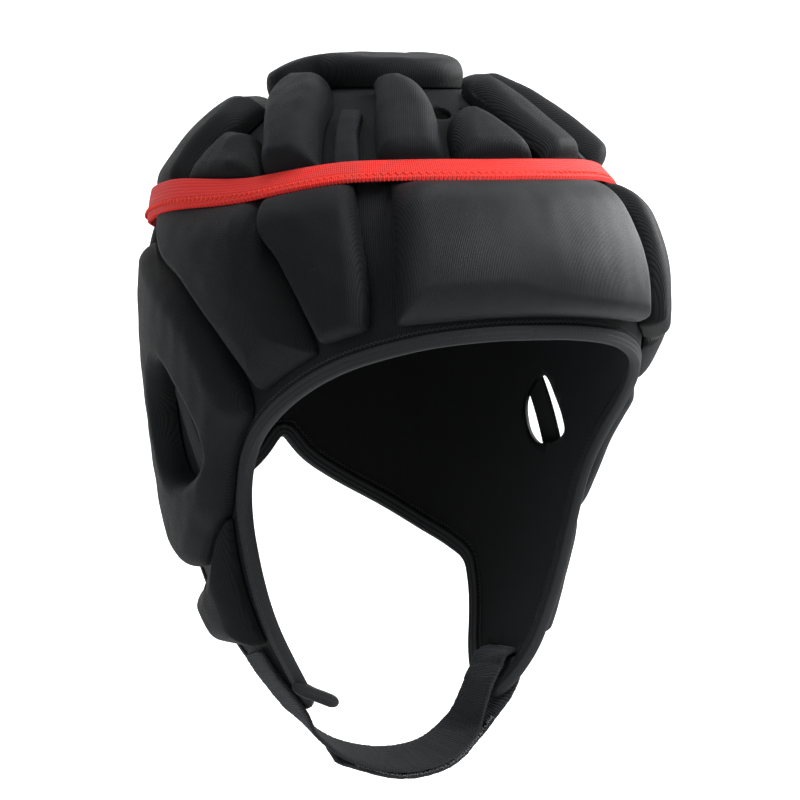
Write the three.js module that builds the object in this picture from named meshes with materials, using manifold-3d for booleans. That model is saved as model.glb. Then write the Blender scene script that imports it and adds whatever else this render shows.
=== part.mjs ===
// A padded rugby scrum cap. Millimetres, +Z up, the face looks along -Y and +X is the wearer's left.
// The origin is the inside of the crown, the point that sits on top of the head.
// Places on the cap are given as an angle round the head (0 at the face, 90 at the left ear) and as
// "down", the way from the crown along the side of the form, in percent of that whole way.
import * as THREE from "three";
import { mergeVertices } from "three/addons/utils/BufferGeometryUtils.js";
import Module from "manifold-3d";

const wasm = await Module();
wasm.setup();

// Head form inside the cap
const HEAD_WIDTH = 149; // ear to ear
const HEAD_LENGTH = 193; // brow to nape
const FORM_DROP = 228; // crown to the lowest section, under the flap tips
const SQUARENESS = 2.2; // exponent of the sections, 2 is an ellipse

// Layers, measured outwards from the head form
const LINER = 2.5; // thickness of the inner shell
const CLEAR = 0.5; // gap between layers that lie on each other
const PAD_RISE = 9.5; // thickness of a pad at its middle
const PAD_EDGE = 3; // thickness of a pad at its sewn edge
const PAD_ROUND = 7; // width of the rounded shoulder of a pad
const PAD_SEAM = 1; // gap between two pads sewn side by side
const PAD_ROOM = 0.6; // room left under the middle of a pad
const PAD_STEP = 14; // facet length on a pad

// Trims
const BAND_WIDTH = 9;
const BAND_THICK = 1.6;
const BINDING_WIDTH = 5;
const BINDING_WRAP = 0.8; // how far the binding stands out from both faces of the liner
const BAR_WIDTH = 7;
const BAR_THICK = 1.2;
const VENT_RADIUS = 4.2;
// The band presses the pads flat from the face to the first angle. Past the second one it lies on them
// and leaves this share of their height.
const BAND_PRESS = { until: 65, past: 110, share: 0.9 };

// Chin strap
const STRAP_WIDTH = 20;
const STRAP_THICK = 1.8;
const STRAP_HANG = 12; // the strap's upper layer hangs this far below the lowest section
const STRAP_TILT = 20; // degrees that the strap leans forward under the chin
const STRAP_INSIDE = 3.6; // how far the strap's middle lies inside the left flap
const SLOT_HEIGHT = 4.8;
const SLOT_SIDE = 1.2; // spare length of the slot past each edge of the strap

const table = (columns, ...lines) =>
  lines.map((line) =>
    Object.fromEntries(columns.split(" ").map((column, i) => [column, line[i]])),
  );

// Sections of the head form, top to bottom. drop is a share of FORM_DROP, half a share of half the
// HEAD_WIDTH, front and back shares of half the HEAD_LENGTH.
const SECTIONS = table(
  "drop half front back",
  [0, 0, 0, 0],
  [0.0035, 0.161, 0.062, 0.207],
  [0.013, 0.322, 0.207, 0.415],
  [0.037, 0.456, 0.363, 0.549],
  [0.083, 0.664, 0.539, 0.756],
  [0.132, 0.805, 0.715, 0.876],
  [0.202, 0.944, 0.886, 0.96],
  [0.276, 1.0, 0.984, 0.99],
  [0.364, 1.0, 1.01, 1.005],
  [0.474, 0.96, 0.99, 1.014],
  [0.583, 0.906, 0.955, 1.01],
  [0.693, 0.846, 0.912, 0.99],
  [0.803, 0.752, 0.87, 0.93],
  [0.89, 0.625, 0.81, 0.81],
  [1.0, 0.376, 0.7, 0.61],
);

// The lower edge of the cap: brow, front of the flap, flap tip, rear of the flap, nape.
const EDGE = table(
  "angle down",
  [0, 45.9],
  [8.5, 46.0],
  [21.5, 46.9],
  [35.5, 49.1],
  [42.5, 50.7],
  [50.5, 53.0],
  [61, 56.5],
  [68, 59.4],
  [74, 63.3],
  [76.4, 66.5],
  [77.4, 70.4],
  [77.6, 74.1],
  [77.7, 78.7],
  [77.8, 83.9],
  [78, 88.0],
  [80.5, 91.7],
  [87, 94.8],
  [98, 95.9],
  [112, 95.0],
  [122.5, 92.1],
  [126.5, 88.9],
  [128, 85.7],
  [129.3, 82.5],
  [130.8, 80.0],
  [132.5, 78.0],
  [138.5, 76.1],
  [147.5, 73.8],
  [157.5, 70.7],
  [168.5, 67.2],
  [175.5, 64.3],
  [180, 61.1],
);

// The middle line of the band round the cap, the same on both sides.
const BAND = table(
  "angle down",
  [0, 26.3],
  [25, 26.3],
  [38, 26.6],
  [50, 27.4],
  [60, 28.2],
  [80, 29.4],
  [112, 30.8],
  [145, 32.3],
  [180, 33.1],
);

// Pads. Each row gives the two sides of the pad at one place along it. bow moves the middle of the
// row down, in percent. ON_BAND stands for the band's middle line, where the pad ends under the band.
const ON_BAND = -1;
const PAD_COLUMNS = "near nearDown far farDown bow";
const CROWN_PAD_FRONT = table(
  PAD_COLUMNS,
  [-4.5, 16.4, 4.5, 16.4, -0.5],
  [-8.5, 18.8, 8.5, 18.8, -0.2],
  [-11, 22.8, 11, 22.8, 0],
  [-11, ON_BAND, 11, ON_BAND, 0],
);
const FOREHEAD_PAD = table(
  PAD_COLUMNS,
  [-27.5, ON_BAND, 27.5, ON_BAND, 0],
  [-28.2, 33.9, 28.2, 33.9, 0],
  [-28.5, 38.0, 28.5, 38.0, -0.3],
  [-28, 44.3, 28, 44.3, -1],
);
const CROWN_PAD_REAR_MIDDLE = table(
  PAD_COLUMNS,
  [162, 14.9, 198, 14.9, 0],
  [161, 22, 199, 22, 0],
  [161.5, ON_BAND, 198.5, ON_BAND, 0],
);
const NAPE_PAD_MIDDLE = table(
  PAD_COLUMNS,
  [161, ON_BAND, 199, ON_BAND, 0],
  [160, 45, 200, 45, 0],
  [161, 61.5, 199, 61.5, -4.6],
);
// Pads that come in pairs, given for the wearer's left.
const PAD_PAIRS = {
  crown_pad_brow: table(
    PAD_COLUMNS,
    [18, 9.7, 36, 9.7, 0],
    [11.5, 12.1, 33.5, 12.1, 0],
    [10.5, 17.8, 31.5, 17.8, 0],
    [12.5, 22.8, 30.5, 22.8, 0],
    [14.5, ON_BAND, 30, ON_BAND, 0],
  ),
  crown_strip: table(
    PAD_COLUMNS,
    [37, 14.9, 47, 14.9, 0],
    [35.5, 20.4, 44.5, 20.4, 0],
    [34.5, ON_BAND, 42, ON_BAND, 0],
  ),
  crown_pad_temple: table(
    PAD_COLUMNS,
    [68, 9.7, 105, 9.7, 0],
    [53.5, 14.2, 98, 14.2, 0],
    [48.5, 19.6, 77, 19.6, 0],
    [46.5, 23.5, 68.5, 23.5, 0],
    [45, ON_BAND, 63.5, ON_BAND, 0],
  ),
  crown_pad_side: table(
    PAD_COLUMNS,
    [81, 20.5, 94, 20.5, 0],
    [72.5, 23.5, 100, 23.5, 0],
    [68, 26, 103, 26, 0],
    [65.5, ON_BAND, 104, ON_BAND, 0],
  ),
  crown_pad_back: table(
    PAD_COLUMNS,
    [111, 14.9, 134, 14.9, 0],
    [101, 19.6, 137, 19.6, 0],
    [104, 24.2, 138.5, 24.2, 0],
    [106, ON_BAND, 139, ON_BAND, 0],
  ),
  crown_pad_rear: table(
    PAD_COLUMNS,
    [137, 14.9, 159, 14.9, 0],
    [139.5, 22, 159, 22, 0],
    [141, ON_BAND, 159.5, ON_BAND, 0],
  ),
  side_pad_front: table(
    PAD_COLUMNS,
    [36.5, ON_BAND, 64, ON_BAND, 0],
    [34.5, 33.4, 60.5, 33.9, 0],
    [33.5, 37.9, 54, 37.1, 0],
    [33, 42.1, 48, 41.6, 0],
    [33, 44.8, 42.5, 46.6, 0],
  ),
  side_pad_rear: table(
    PAD_COLUMNS,
    [64.5, ON_BAND, 120, ON_BAND, 0],
    [60.8, 34.5, 107.5, 37.0, 0],
    [54.6, 37.5, 90.5, 40.2, 0],
    [48.8, 42.3, 78, 44.3, 0],
    [46, 45.5, 70, 48.3, 0],
    [44.5, 47.6, 61.5, 52.6, 0],
  ),
  cheek_pad: table(
    PAD_COLUMNS,
    [84.5, 68.6, 88, 70, 0],
    [85.3, 70.9, 96.5, 73.6, 0],
    [86, 74.3, 109.5, 77.3, 0],
    [86.3, 78.6, 122, 80, 0],
    [86.3, 82.5, 121, 83.2, 0],
    [86.5, 85.6, 119, 85.8, 0],
  ),
  nape_pad: table(
    PAD_COLUMNS,
    [136, ON_BAND, 159, ON_BAND, 0],
    [137, 56.9, 158, 56.9, 0],
    [138, 72.6, 157, 67.2, 0],
  ),
};

// The ring-shaped pad round the ear: its outer side and the side at the ear hole, all the way round.
const EAR_PAD = table(
  "angle down holeAngle holeDown",
  [128, 34.9, 113, 50.1],
  [111.5, 37.5, 108, 49.8],
  [92.5, 41.0, 102, 51.4],
  [80, 45.2, 97.5, 53.1],
  [73.5, 48.7, 93.5, 54.7],
  [68, 51.8, 90.5, 56.2],
  [66.5, 55.0, 88, 57.6],
  [71.5, 57.9, 87, 59.0],
  [77, 61.5, 87, 60.3],
  [80.5, 65.1, 89, 61.5],
  [85.5, 68.8, 93, 62.7],
  [93, 71.2, 97, 63.5],
  [101, 73.6, 101, 64.2],
  [109, 75.6, 105, 64.5],
  [121, 76.0, 111, 64.3],
  [130, 72.8, 116.5, 62.9],
  [134.5, 65.8, 120, 60.3],
  [134.5, 56.9, 121, 56.2],
  [133.5, 46.2, 118, 52.3],
  [132.5, 37.8, 115.5, 50.9],
);

// The hole in the liner over the ear, smaller than the one in the pad.
const EAR_HOLE = table(
  "angle down",
  [107, 52.1],
  [99, 55.1],
  [93.5, 57.4],
  [91.5, 59.4],
  [95, 60.8],
  [103, 62.0],
  [111, 62.3],
  [117, 60.2],
  [118, 56.4],
  [112, 53.0],
);
// The bar across the ear hole, from its upper rear to its lower front.
const EAR_BAR = table("angle down", [116, 52.9], [98.4, 62.7]);
const VENT = { angle: 7, down: 14.4 };
const TOP_PAD = table(
  "angle down",
  [0, 8.7],
  [105, 8.7],
  [114, 11.6],
  [127, 13.7],
  [180, 13.7],
);

// The strap: where it runs on a flap, and its free way under the chin. side is a share of half the
// HEAD_WIDTH, back a share of half the HEAD_LENGTH, drop a share of the way from the crown to the
// lowest point of the strap's upper layer. lift is a share of STRAP_INSIDE.
const STRAP_ANGLE = 102;
const STRAP_ON_RIGHT_FLAP = [86.8, 90, 94.6];
const STRAP_IN_LEFT_FLAP = [94.6, 92.4];
const STRAP_TURN = table("down lift", [90.4, -0.9], [89.0, 0.2], [90.4, 1.28]);
const STRAP_BACK_OVER_FLAP = [92.4, 95.4];
const STRAP_FREE = table(
  "side back drop",
  [-0.45, 0.06, 0.948],
  [-0.29, 0.04, 0.983],
  [-0.04, 0.02, 1.0],
  [0.2, 0.03, 0.989],
  [0.37, 0.06, 0.953],
);
const STRAP_END = { side: -0.33, back: 0.045, drop: 0.977 };

const knit = { color: 0x2f3235, roughness: 0.85, metalness: 0 };
const LOOKS = {
  knit,
  satin: { ...knit, color: 0x33363a, roughness: 0.6 },
  lining: { ...knit, color: 0x17181a },
  elastic: { ...knit, color: 0xe02426, roughness: 0.75 },
  tape: { ...knit, color: 0x4a4d50 },
};

// Reads a smooth value between the rows of a table whose rows hold their place as "at".
function smooth(rows, at, key) {
  let i = 0;
  while (i < rows.length - 2 && at > rows[i + 1].at) i++;
  const slope = (a, b) => (b[key] - a[key]) / (b.at - a.at);
  const tangent = (j) => {
    const row = rows[j];
    const before = rows[j - 1] ?? row;
    const after = rows[j + 1] ?? row;
    return slope(before, after);
  };
  const [low, high] = [rows[i], rows[i + 1]];
  const step = high.at - low.at;
  const s = (at - low.at) / step;
  return (
    low[key] * (2 * s ** 3 - 3 * s ** 2 + 1) +
    tangent(i) * step * (s ** 3 - 2 * s ** 2 + s) +
    high[key] * (3 * s ** 2 - 2 * s ** 3) +
    tangent(i + 1) * step * (s ** 3 - s ** 2)
  );
}

const FORM = SECTIONS.map((row) => ({
  z: -row.drop * FORM_DROP,
  half: (row.half * HEAD_WIDTH) / 2,
  front: (row.front * HEAD_LENGTH) / 2,
  back: (row.back * HEAD_LENGTH) / 2,
}));
FORM.forEach((row, i) => {
  const above = FORM[i - 1];
  row.at = i ? above.at + Math.hypot(row.z - above.z, row.half - above.half) : 0;
});
const SIDE_WAY = FORM.at(-1).at;

const BAND_LINE = BAND.map((row) => ({ at: row.angle, down: row.down }));
const bandDown = (angle) => {
  const turned = Math.abs(((angle + 180) % 360) - 180);
  return smooth(BAND_LINE, turned, "down");
};
const TOP_LINE = TOP_PAD.map((row) => ({ at: row.angle, down: row.down }));

// A point of the head form.
function onForm(angle, down) {
  const at = Math.max((down / 100) * SIDE_WAY, 0);
  const half = Math.max(smooth(FORM, at, "half"), 1e-6);
  const front = smooth(FORM, at, "front");
  const back = smooth(FORM, at, "back");
  const reach = Math.max((front + back) / 2, 1e-6);
  const [s, c] = [Math.sin(angle * THREE.MathUtils.DEG2RAD), Math.cos(angle * THREE.MathUtils.DEG2RAD)];
  const r = (Math.abs(s / half) ** SQUARENESS + Math.abs(c / reach) ** SQUARENESS) ** (-1 / SQUARENESS);
  return new THREE.Vector3(r * s, (back - front) / 2 - r * c, smooth(FORM, at, "z"));
}

// The two directions along the form at a place, for one degree and for one percent, and its normal.
function frameAt(angle, down) {
  const h = 0.05;
  const at = Math.max(down, 0.3);
  const round = onForm(angle + h, at).sub(onForm(angle - h, at)).divideScalar(2 * h);
  const fall = onForm(angle, at + h).sub(onForm(angle, at - h)).divideScalar(2 * h);
  return { round, fall, normal: fall.clone().cross(round).normalize() };
}

// A point at a height above the form.
function skin(angle, down, lift) {
  const point = onForm(angle, down);
  if (down < 0.3) return point.setZ(point.z + lift);
  return point.addScaledVector(frameAt(angle, down).normal, lift);
}

// Moves a place on the form by a vector in space that lies along the form.
function shifted(place, vector) {
  const { round, fall } = frameAt(place.angle, place.down);
  const [a, b, c] = [round.dot(round), round.dot(fall), fall.dot(fall)];
  const [p, q] = [vector.dot(round), vector.dot(fall)];
  const det = a * c - b * b;
  return {
    angle: place.angle + (p * c - q * b) / det,
    down: place.down + (q * a - p * b) / det,
  };
}

// A closed body from points and faces, turned to face outwards.
function body(points, faces) {
  const position = new Float32Array(faces.flat().flatMap((i) => points[i].toArray()));
  const loose = new THREE.BufferGeometry().setAttribute("position", new THREE.BufferAttribute(position, 3));
  const merged = mergeVertices(loose, 1e-3);
  const index = [];
  for (let i = 0; i < merged.index.count; i += 3) {
    const [a, b, c] = [0, 1, 2].map((k) => merged.index.getX(i + k));
    if (a !== b && b !== c && c !== a) index.push(a, b, c);
  }
  const corner = (i) => new THREE.Vector3().fromBufferAttribute(merged.getAttribute("position"), i);
  let volume = 0;
  for (let i = 0; i < index.length; i += 3)
    volume += corner(index[i]).dot(corner(index[i + 1]).cross(corner(index[i + 2]))) / 6;
  if (volume < 0) index.reverse();
  merged.setIndex(index);
  return merged;
}

// A body swept through rings of points. An open one is closed by zipping each end ring's two halves.
function sweep(rings, closed = false) {
  const count = rings[0].length;
  const faces = [];
  const quad = (a, b, c, d) => faces.push([a, b, c], [a, c, d]);
  const steps = closed ? rings.length : rings.length - 1;
  for (let i = 0; i < steps; i++) {
    const here = i * count;
    const next = ((i + 1) % rings.length) * count;
    for (let k = 0; k < count; k++) {
      const j = (k + 1) % count;
      quad(here + k, next + k, next + j, here + j);
    }
  }
  if (!closed) {
    const end = (rings.length - 1) * count;
    for (let k = 0; k < count / 2 - 1; k++) {
      quad(k, k + 1, count - 2 - k, count - 1 - k);
      quad(end + count - 1 - k, end + count - 2 - k, end + k + 1, end + k);
    }
  }
  return body(rings.flat(), faces);
}

const toManifold = (geometry) =>
  new wasm.Manifold(
    new wasm.Mesh({
      numProp: 3,
      vertProperties: geometry.getAttribute("position").array,
      triVerts: new Uint32Array(geometry.index.array),
    }),
  );

function cut(geometry, cutters) {
  let solid = toManifold(geometry);
  for (const cutter of cutters) solid = solid.subtract(toManifold(cutter));
  const { vertProperties, triVerts } = solid.getMesh();
  return new THREE.BufferGeometry()
    .setAttribute("position", new THREE.BufferAttribute(vertProperties, 3))
    .setIndex(new THREE.BufferAttribute(triVerts, 1));
}

// A cutter straight through the liner, from an outline on the form.
const through = (outline) =>
  sweep([-8, 12].map((lift) => outline.map(({ angle, down }) => skin(angle, down, lift))));

// Distances along a pad's side, close together on the rounded shoulders.
function stations(length, flatStart, flatEnd) {
  const room = length - flatStart - flatEnd;
  const round = Math.min(PAD_ROUND, room * 0.42);
  const list = [0];
  if (flatStart) list.push(flatStart);
  list.push(flatStart + round * 0.35, flatStart + round);
  const middle = room - 2 * round;
  const steps = Math.max(1, Math.round(middle / PAD_STEP));
  for (let i = 1; i < steps; i++) list.push(flatStart + round + (middle * i) / steps);
  list.push(length - flatEnd - round, length - flatEnd - round * 0.35);
  if (flatEnd) list.push(length - flatEnd);
  list.push(length);
  return { list, round };
}
const shoulder = (distance, round) => {
  const s = Math.min(Math.max(distance / round, 0), 1);
  return Math.sqrt(1 - (1 - s) ** 2);
};

const PAD_BASE = LINER + CLEAR;
const UNDER_BAND = BAND_WIDTH / 2 + 3 * CLEAR;
const leftUnderBand = (angle) =>
  BAND_PRESS.share * THREE.MathUtils.smoothstep(Math.abs(angle), BAND_PRESS.until, BAND_PRESS.past);

// A pad from its table: rounded on all sides and low where it runs under the band.
function pad(rows, rise = PAD_RISE) {
  const side = (angleKey, downKey) =>
    new THREE.CatmullRomCurve3(
      rows.map((row) => {
        const down = row[downKey] === ON_BAND ? bandDown(row[angleKey]) : row[downKey];
        return new THREE.Vector3(row[angleKey], down, row.bow);
      }),
    );
  const near = side("near", "nearDown");
  const far = side("far", "farDown");
  const place = (u, v) => {
    const [a, b] = [near.getPoint(v), far.getPoint(v)];
    const p = a.clone().lerp(b, u);
    return { angle: p.x, down: p.y + 4 * a.z * u * (1 - u) };
  };
  const at = (u, v, lift = PAD_BASE) => {
    const { angle, down } = place(u, v);
    return skin(angle, down, lift);
  };
  const fine = 24;
  let length = 0;
  for (let i = 0; i < fine; i++) length += at(0.5, i / fine).distanceTo(at(0.5, (i + 1) / fine));
  const startsOnBand = rows[0].nearDown === ON_BAND;
  const endsOnBand = rows.at(-1).nearDown === ON_BAND;
  const seam = PAD_SEAM / 2;
  const flat = UNDER_BAND;
  const along = stations(length - 2 * seam, startsOnBand ? flat : 0, endsOnBand ? flat : 0);
  const widest = Math.max(...[0.2, 0.5, 0.8, 1].map((v) => at(0, v).distanceTo(at(1, v))));
  const across = stations(widest - 2 * seam, 0, 0);
  const rings = along.list.map((distance) => {
    const v = (seam + distance) / length;
    const fromStart = distance - (startsOnBand ? flat : 0);
    const fromEnd = length - 2 * seam - distance - (endsOnBand ? flat : 0);
    const width = at(0, v).distanceTo(at(1, v));
    const scale = (width - 2 * seam) / (widest - 2 * seam);
    const corner = Math.min(along.round, width * 0.3);
    const near0 = startsOnBand ? corner : Math.min(Math.max(fromStart, 0), corner);
    const near1 = endsOnBand ? corner : Math.min(Math.max(fromEnd, 0), corner);
    const inset = (d) => (1 - Math.sqrt(1 - (1 - d / corner) ** 2)) * corner * 0.8;
    const pull = Math.max(inset(near0), inset(near1));
    const lengthwise = shoulder(fromStart, along.round) * shoulder(fromEnd, along.round);
    const atBand = startsOnBand ? shoulder(fromEnd, along.round) : shoulder(fromStart, along.round);
    const top = [];
    const bottom = [];
    for (const offset of across.list) {
      const within = offset * scale;
      const half = (width - 2 * seam) / 2;
      const u = (seam + pull + (within * (half - pull)) / half) / width;
      const edge = Math.min(within, width - 2 * seam - within);
      const left = startsOnBand || endsOnBand ? leftUnderBand(place(u, v).angle) : 0;
      const body = left * atBand + (1 - left * atBand) * lengthwise;
      const high =
        PAD_EDGE + (rise - PAD_EDGE) * shoulder(edge, Math.max(across.round * Math.min(scale, 1), 1)) * body;
      top.push(at(u, v, PAD_BASE + Math.min(high, rise)));
      const rim =
        within === 0 || offset === across.list.at(-1) || distance === 0 || distance === along.list.at(-1);
      bottom.push(at(u, v, PAD_BASE + (rim ? 0 : PAD_ROOM)));
    }
    return [...top, ...bottom.reverse()];
  });
  return sweep(rings);
}

// The places along the lower edge at even steps, first the left half from brow to nape, then the right.
function edgePlaces(steps) {
  const curve = new THREE.CatmullRomCurve3(EDGE.map(({ angle, down }) => new THREE.Vector3(angle, down, 0)));
  const fine = 900;
  const samples = Array.from({ length: fine + 1 }, (_, i) => {
    const p = curve.getPoint(i / fine);
    return { angle: p.x, down: p.y, way: 0 };
  });
  samples.forEach((place, i) => {
    if (!i) return;
    const before = samples[i - 1];
    place.way = before.way + skin(place.angle, place.down, 0).distanceTo(skin(before.angle, before.down, 0));
  });
  const total = samples.at(-1).way;
  const left = Array.from({ length: steps + 1 }, (_, i) => {
    const want = (total * i) / steps;
    const { angle, down } = samples.find((place) => place.way >= want - 1e-6);
    return { angle, down };
  });
  left[0].angle = 0;
  left[steps].angle = 180;
  const right = left.slice(1, -1).reverse().map(({ angle, down }) => ({ angle: -angle, down }));
  return [...left, ...right];
}

// The edge places moved into the sheet by a distance.
function movedIn(places, distance) {
  return places.map((place, i) => {
    const before = places[(i + places.length - 1) % places.length];
    const after = places[(i + 1) % places.length];
    const along = skin(after.angle, after.down, 0).sub(skin(before.angle, before.down, 0));
    const inward = frameAt(place.angle, place.down).normal.cross(along).setLength(distance);
    return shifted(place, inward);
  });
}

const EDGE_STEPS = 36;
const edge = edgePlaces(EDGE_STEPS);

// The liner: columns from the crown to the edge, gathered towards the middle of each flap.
const FLAP_MIDDLE = 97;
const LINER_RINGS = [0.07, 0.17, 0.31, 0.48, 0.67, 0.85, 1];
function linerShell() {
  const ends = movedIn(edge, BINDING_WIDTH + 1.6 * CLEAR);
  const columns = ends.map((end, i) => {
    const sign = i > EDGE_STEPS ? -1 : 1;
    const angle = sign > 0 ? end.angle : -end.angle;
    const low = THREE.MathUtils.smoothstep(end.down, 53, 89);
    const fade = 1 - THREE.MathUtils.smoothstep(Math.abs(angle - FLAP_MIDDLE), 35, 75);
    const top = angle + (FLAP_MIDDLE - angle) * 0.7 * low * fade;
    const at = (share, lift) => skin(sign * (top + (angle - top) * share ** 2), end.down * share, lift);
    const outer = LINER_RINGS.map((share) => at(share, LINER));
    const inner = LINER_RINGS.map((share) => at(share, 0));
    return [skin(0, 0, LINER), ...outer, ...inner.reverse(), skin(0, 0, 0)];
  });
  return sweep(columns, true);
}

const mirrored = (places) => places.map((place) => ({ ...place, angle: -place.angle }));
function roundHole({ angle, down }, radius) {
  const { round, fall } = frameAt(angle, down);
  return Array.from({ length: 10 }, (_, i) => {
    const turn = (i / 10) * 2 * Math.PI;
    return shifted(
      { angle, down },
      round.clone().setLength(radius * Math.cos(turn)).add(fall.clone().setLength(radius * Math.sin(turn))),
    );
  });
}
function strapSlot() {
  const middle = { angle: STRAP_ANGLE, down: STRAP_TURN[1].down + 0.3 };
  const { round, fall } = frameAt(middle.angle, middle.down);
  const half = STRAP_WIDTH / 2 + SLOT_SIDE;
  const corner = (x, y) => {
    const sideways = round.clone().setLength(half).multiplyScalar(x);
    const downwards = fall.clone().setLength(SLOT_HEIGHT / 2).multiplyScalar(y);
    return shifted(middle, sideways.add(downwards));
  };
  return [corner(-1, -1), corner(0, -1), corner(1, -1), corner(1, 1), corner(0, 1), corner(-1, 1)];
}

const BINDING_PROFILE = table("in lift", [1, -1], [1, 1], [0.22, 1], [0, 0.45], [0, -0.45], [0.22, -1]);
function binding() {
  const middle = LINER / 2;
  const reach = LINER / 2 + BINDING_WRAP;
  const lines = BINDING_PROFILE.map((row) => {
    const places = movedIn(edge, BINDING_WIDTH * row.in + 1e-3);
    return places.map(({ angle, down }) => skin(angle, down, middle + reach * row.lift));
  });
  return sweep(edge.map((_, i) => lines.map((line) => line[i])), true);
}

const bandBase = (angle) => PAD_BASE + PAD_EDGE + (PAD_RISE - PAD_EDGE) * leftUnderBand(angle) + CLEAR;
function band(steps = 60) {
  return sweep(
    Array.from({ length: steps }, (_, i) => {
      const angle = (360 * i) / steps - 180;
      const down = bandDown(angle);
      const half = BAND_WIDTH / 2 / frameAt(angle, down).fall.length();
      const base = bandBase(angle);
      return [
        skin(angle, down - half, base + BAND_THICK),
        skin(angle, down + half, base + BAND_THICK),
        skin(angle, down + half, base),
        skin(angle, down - half, base),
      ];
    }),
    true,
  );
}

// The lid of the crown, a round pad with its own outline.
function topPad(steps = 26) {
  const rings = [0.25, 0.5, 0.75, 0.93, 1];
  return sweep(
    Array.from({ length: steps }, (_, i) => {
      const angle = (360 * i) / steps - 180;
      const down = smooth(TOP_LINE, Math.abs(angle), "down");
      const way = skin(angle, down, PAD_BASE).distanceTo(skin(0, 0, PAD_BASE));
      const high = (share) => PAD_EDGE + (PAD_RISE - PAD_EDGE) * shoulder((1 - share) * way, PAD_ROUND);
      const at = (share, lift) => skin(angle, down * share, lift);
      return [
        skin(0, 0, PAD_BASE + PAD_RISE),
        ...rings.map((share) => at(share, PAD_BASE + high(share))),
        ...rings.map((share) => at(share, PAD_BASE)).reverse(),
        skin(0, 0, PAD_BASE),
      ];
    }),
    true,
  );
}

function earPad(sign, steps = 25) {
  const loop = (angle, down) =>
    new THREE.CatmullRomCurve3(EAR_PAD.map((row) => new THREE.Vector3(row[angle], row[down], 0)), true);
  const outer = loop("angle", "down");
  const hole = loop("holeAngle", "holeDown");
  const seam = PAD_SEAM / 2;
  return sweep(
    Array.from({ length: steps }, (_, i) => {
      const [a, b] = [outer.getPoint(i / steps), hole.getPoint(i / steps)];
      const at = (u, lift = PAD_BASE) =>
        skin(sign * THREE.MathUtils.lerp(a.x, b.x, u), THREE.MathUtils.lerp(a.y, b.y, u), lift);
      const width = at(0).distanceTo(at(1));
      const round = Math.min(PAD_ROUND, (width - 2 * seam) * 0.42);
      const room = width - 2 * seam;
      const offsets = [0, round * 0.3, round, width / 2 - seam, room - round, room - round * 0.3, room];
      const top = offsets.map((offset) => {
        const high = shoulder(Math.min(offset, width - 2 * seam - offset), round);
        return at((seam + offset) / width, PAD_BASE + PAD_EDGE + (PAD_RISE - PAD_EDGE) * high);
      });
      const bottom = offsets.map((offset) => at((seam + offset) / width));
      return [...top, ...bottom.reverse()];
    }),
    true,
  );
}

function earBar(sign, steps = 6) {
  const [from, to] = EAR_BAR;
  return sweep(
    Array.from({ length: steps + 1 }, (_, i) => {
      const place = {
        angle: sign * THREE.MathUtils.lerp(from.angle, to.angle, i / steps),
        down: THREE.MathUtils.lerp(from.down, to.down, i / steps),
      };
      const { normal } = frameAt(place.angle, place.down);
      const along = skin(sign * to.angle, to.down, 0).sub(skin(sign * from.angle, from.down, 0));
      const half = normal.clone().cross(along).setLength(BAR_WIDTH / 2);
      const low = skin(place.angle, place.down, PAD_BASE);
      const high = skin(place.angle, place.down, PAD_BASE + BAR_THICK);
      return [low.clone().sub(half), high.clone().sub(half), high.clone().add(half), low.clone().add(half)];
    }),
  );
}

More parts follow.
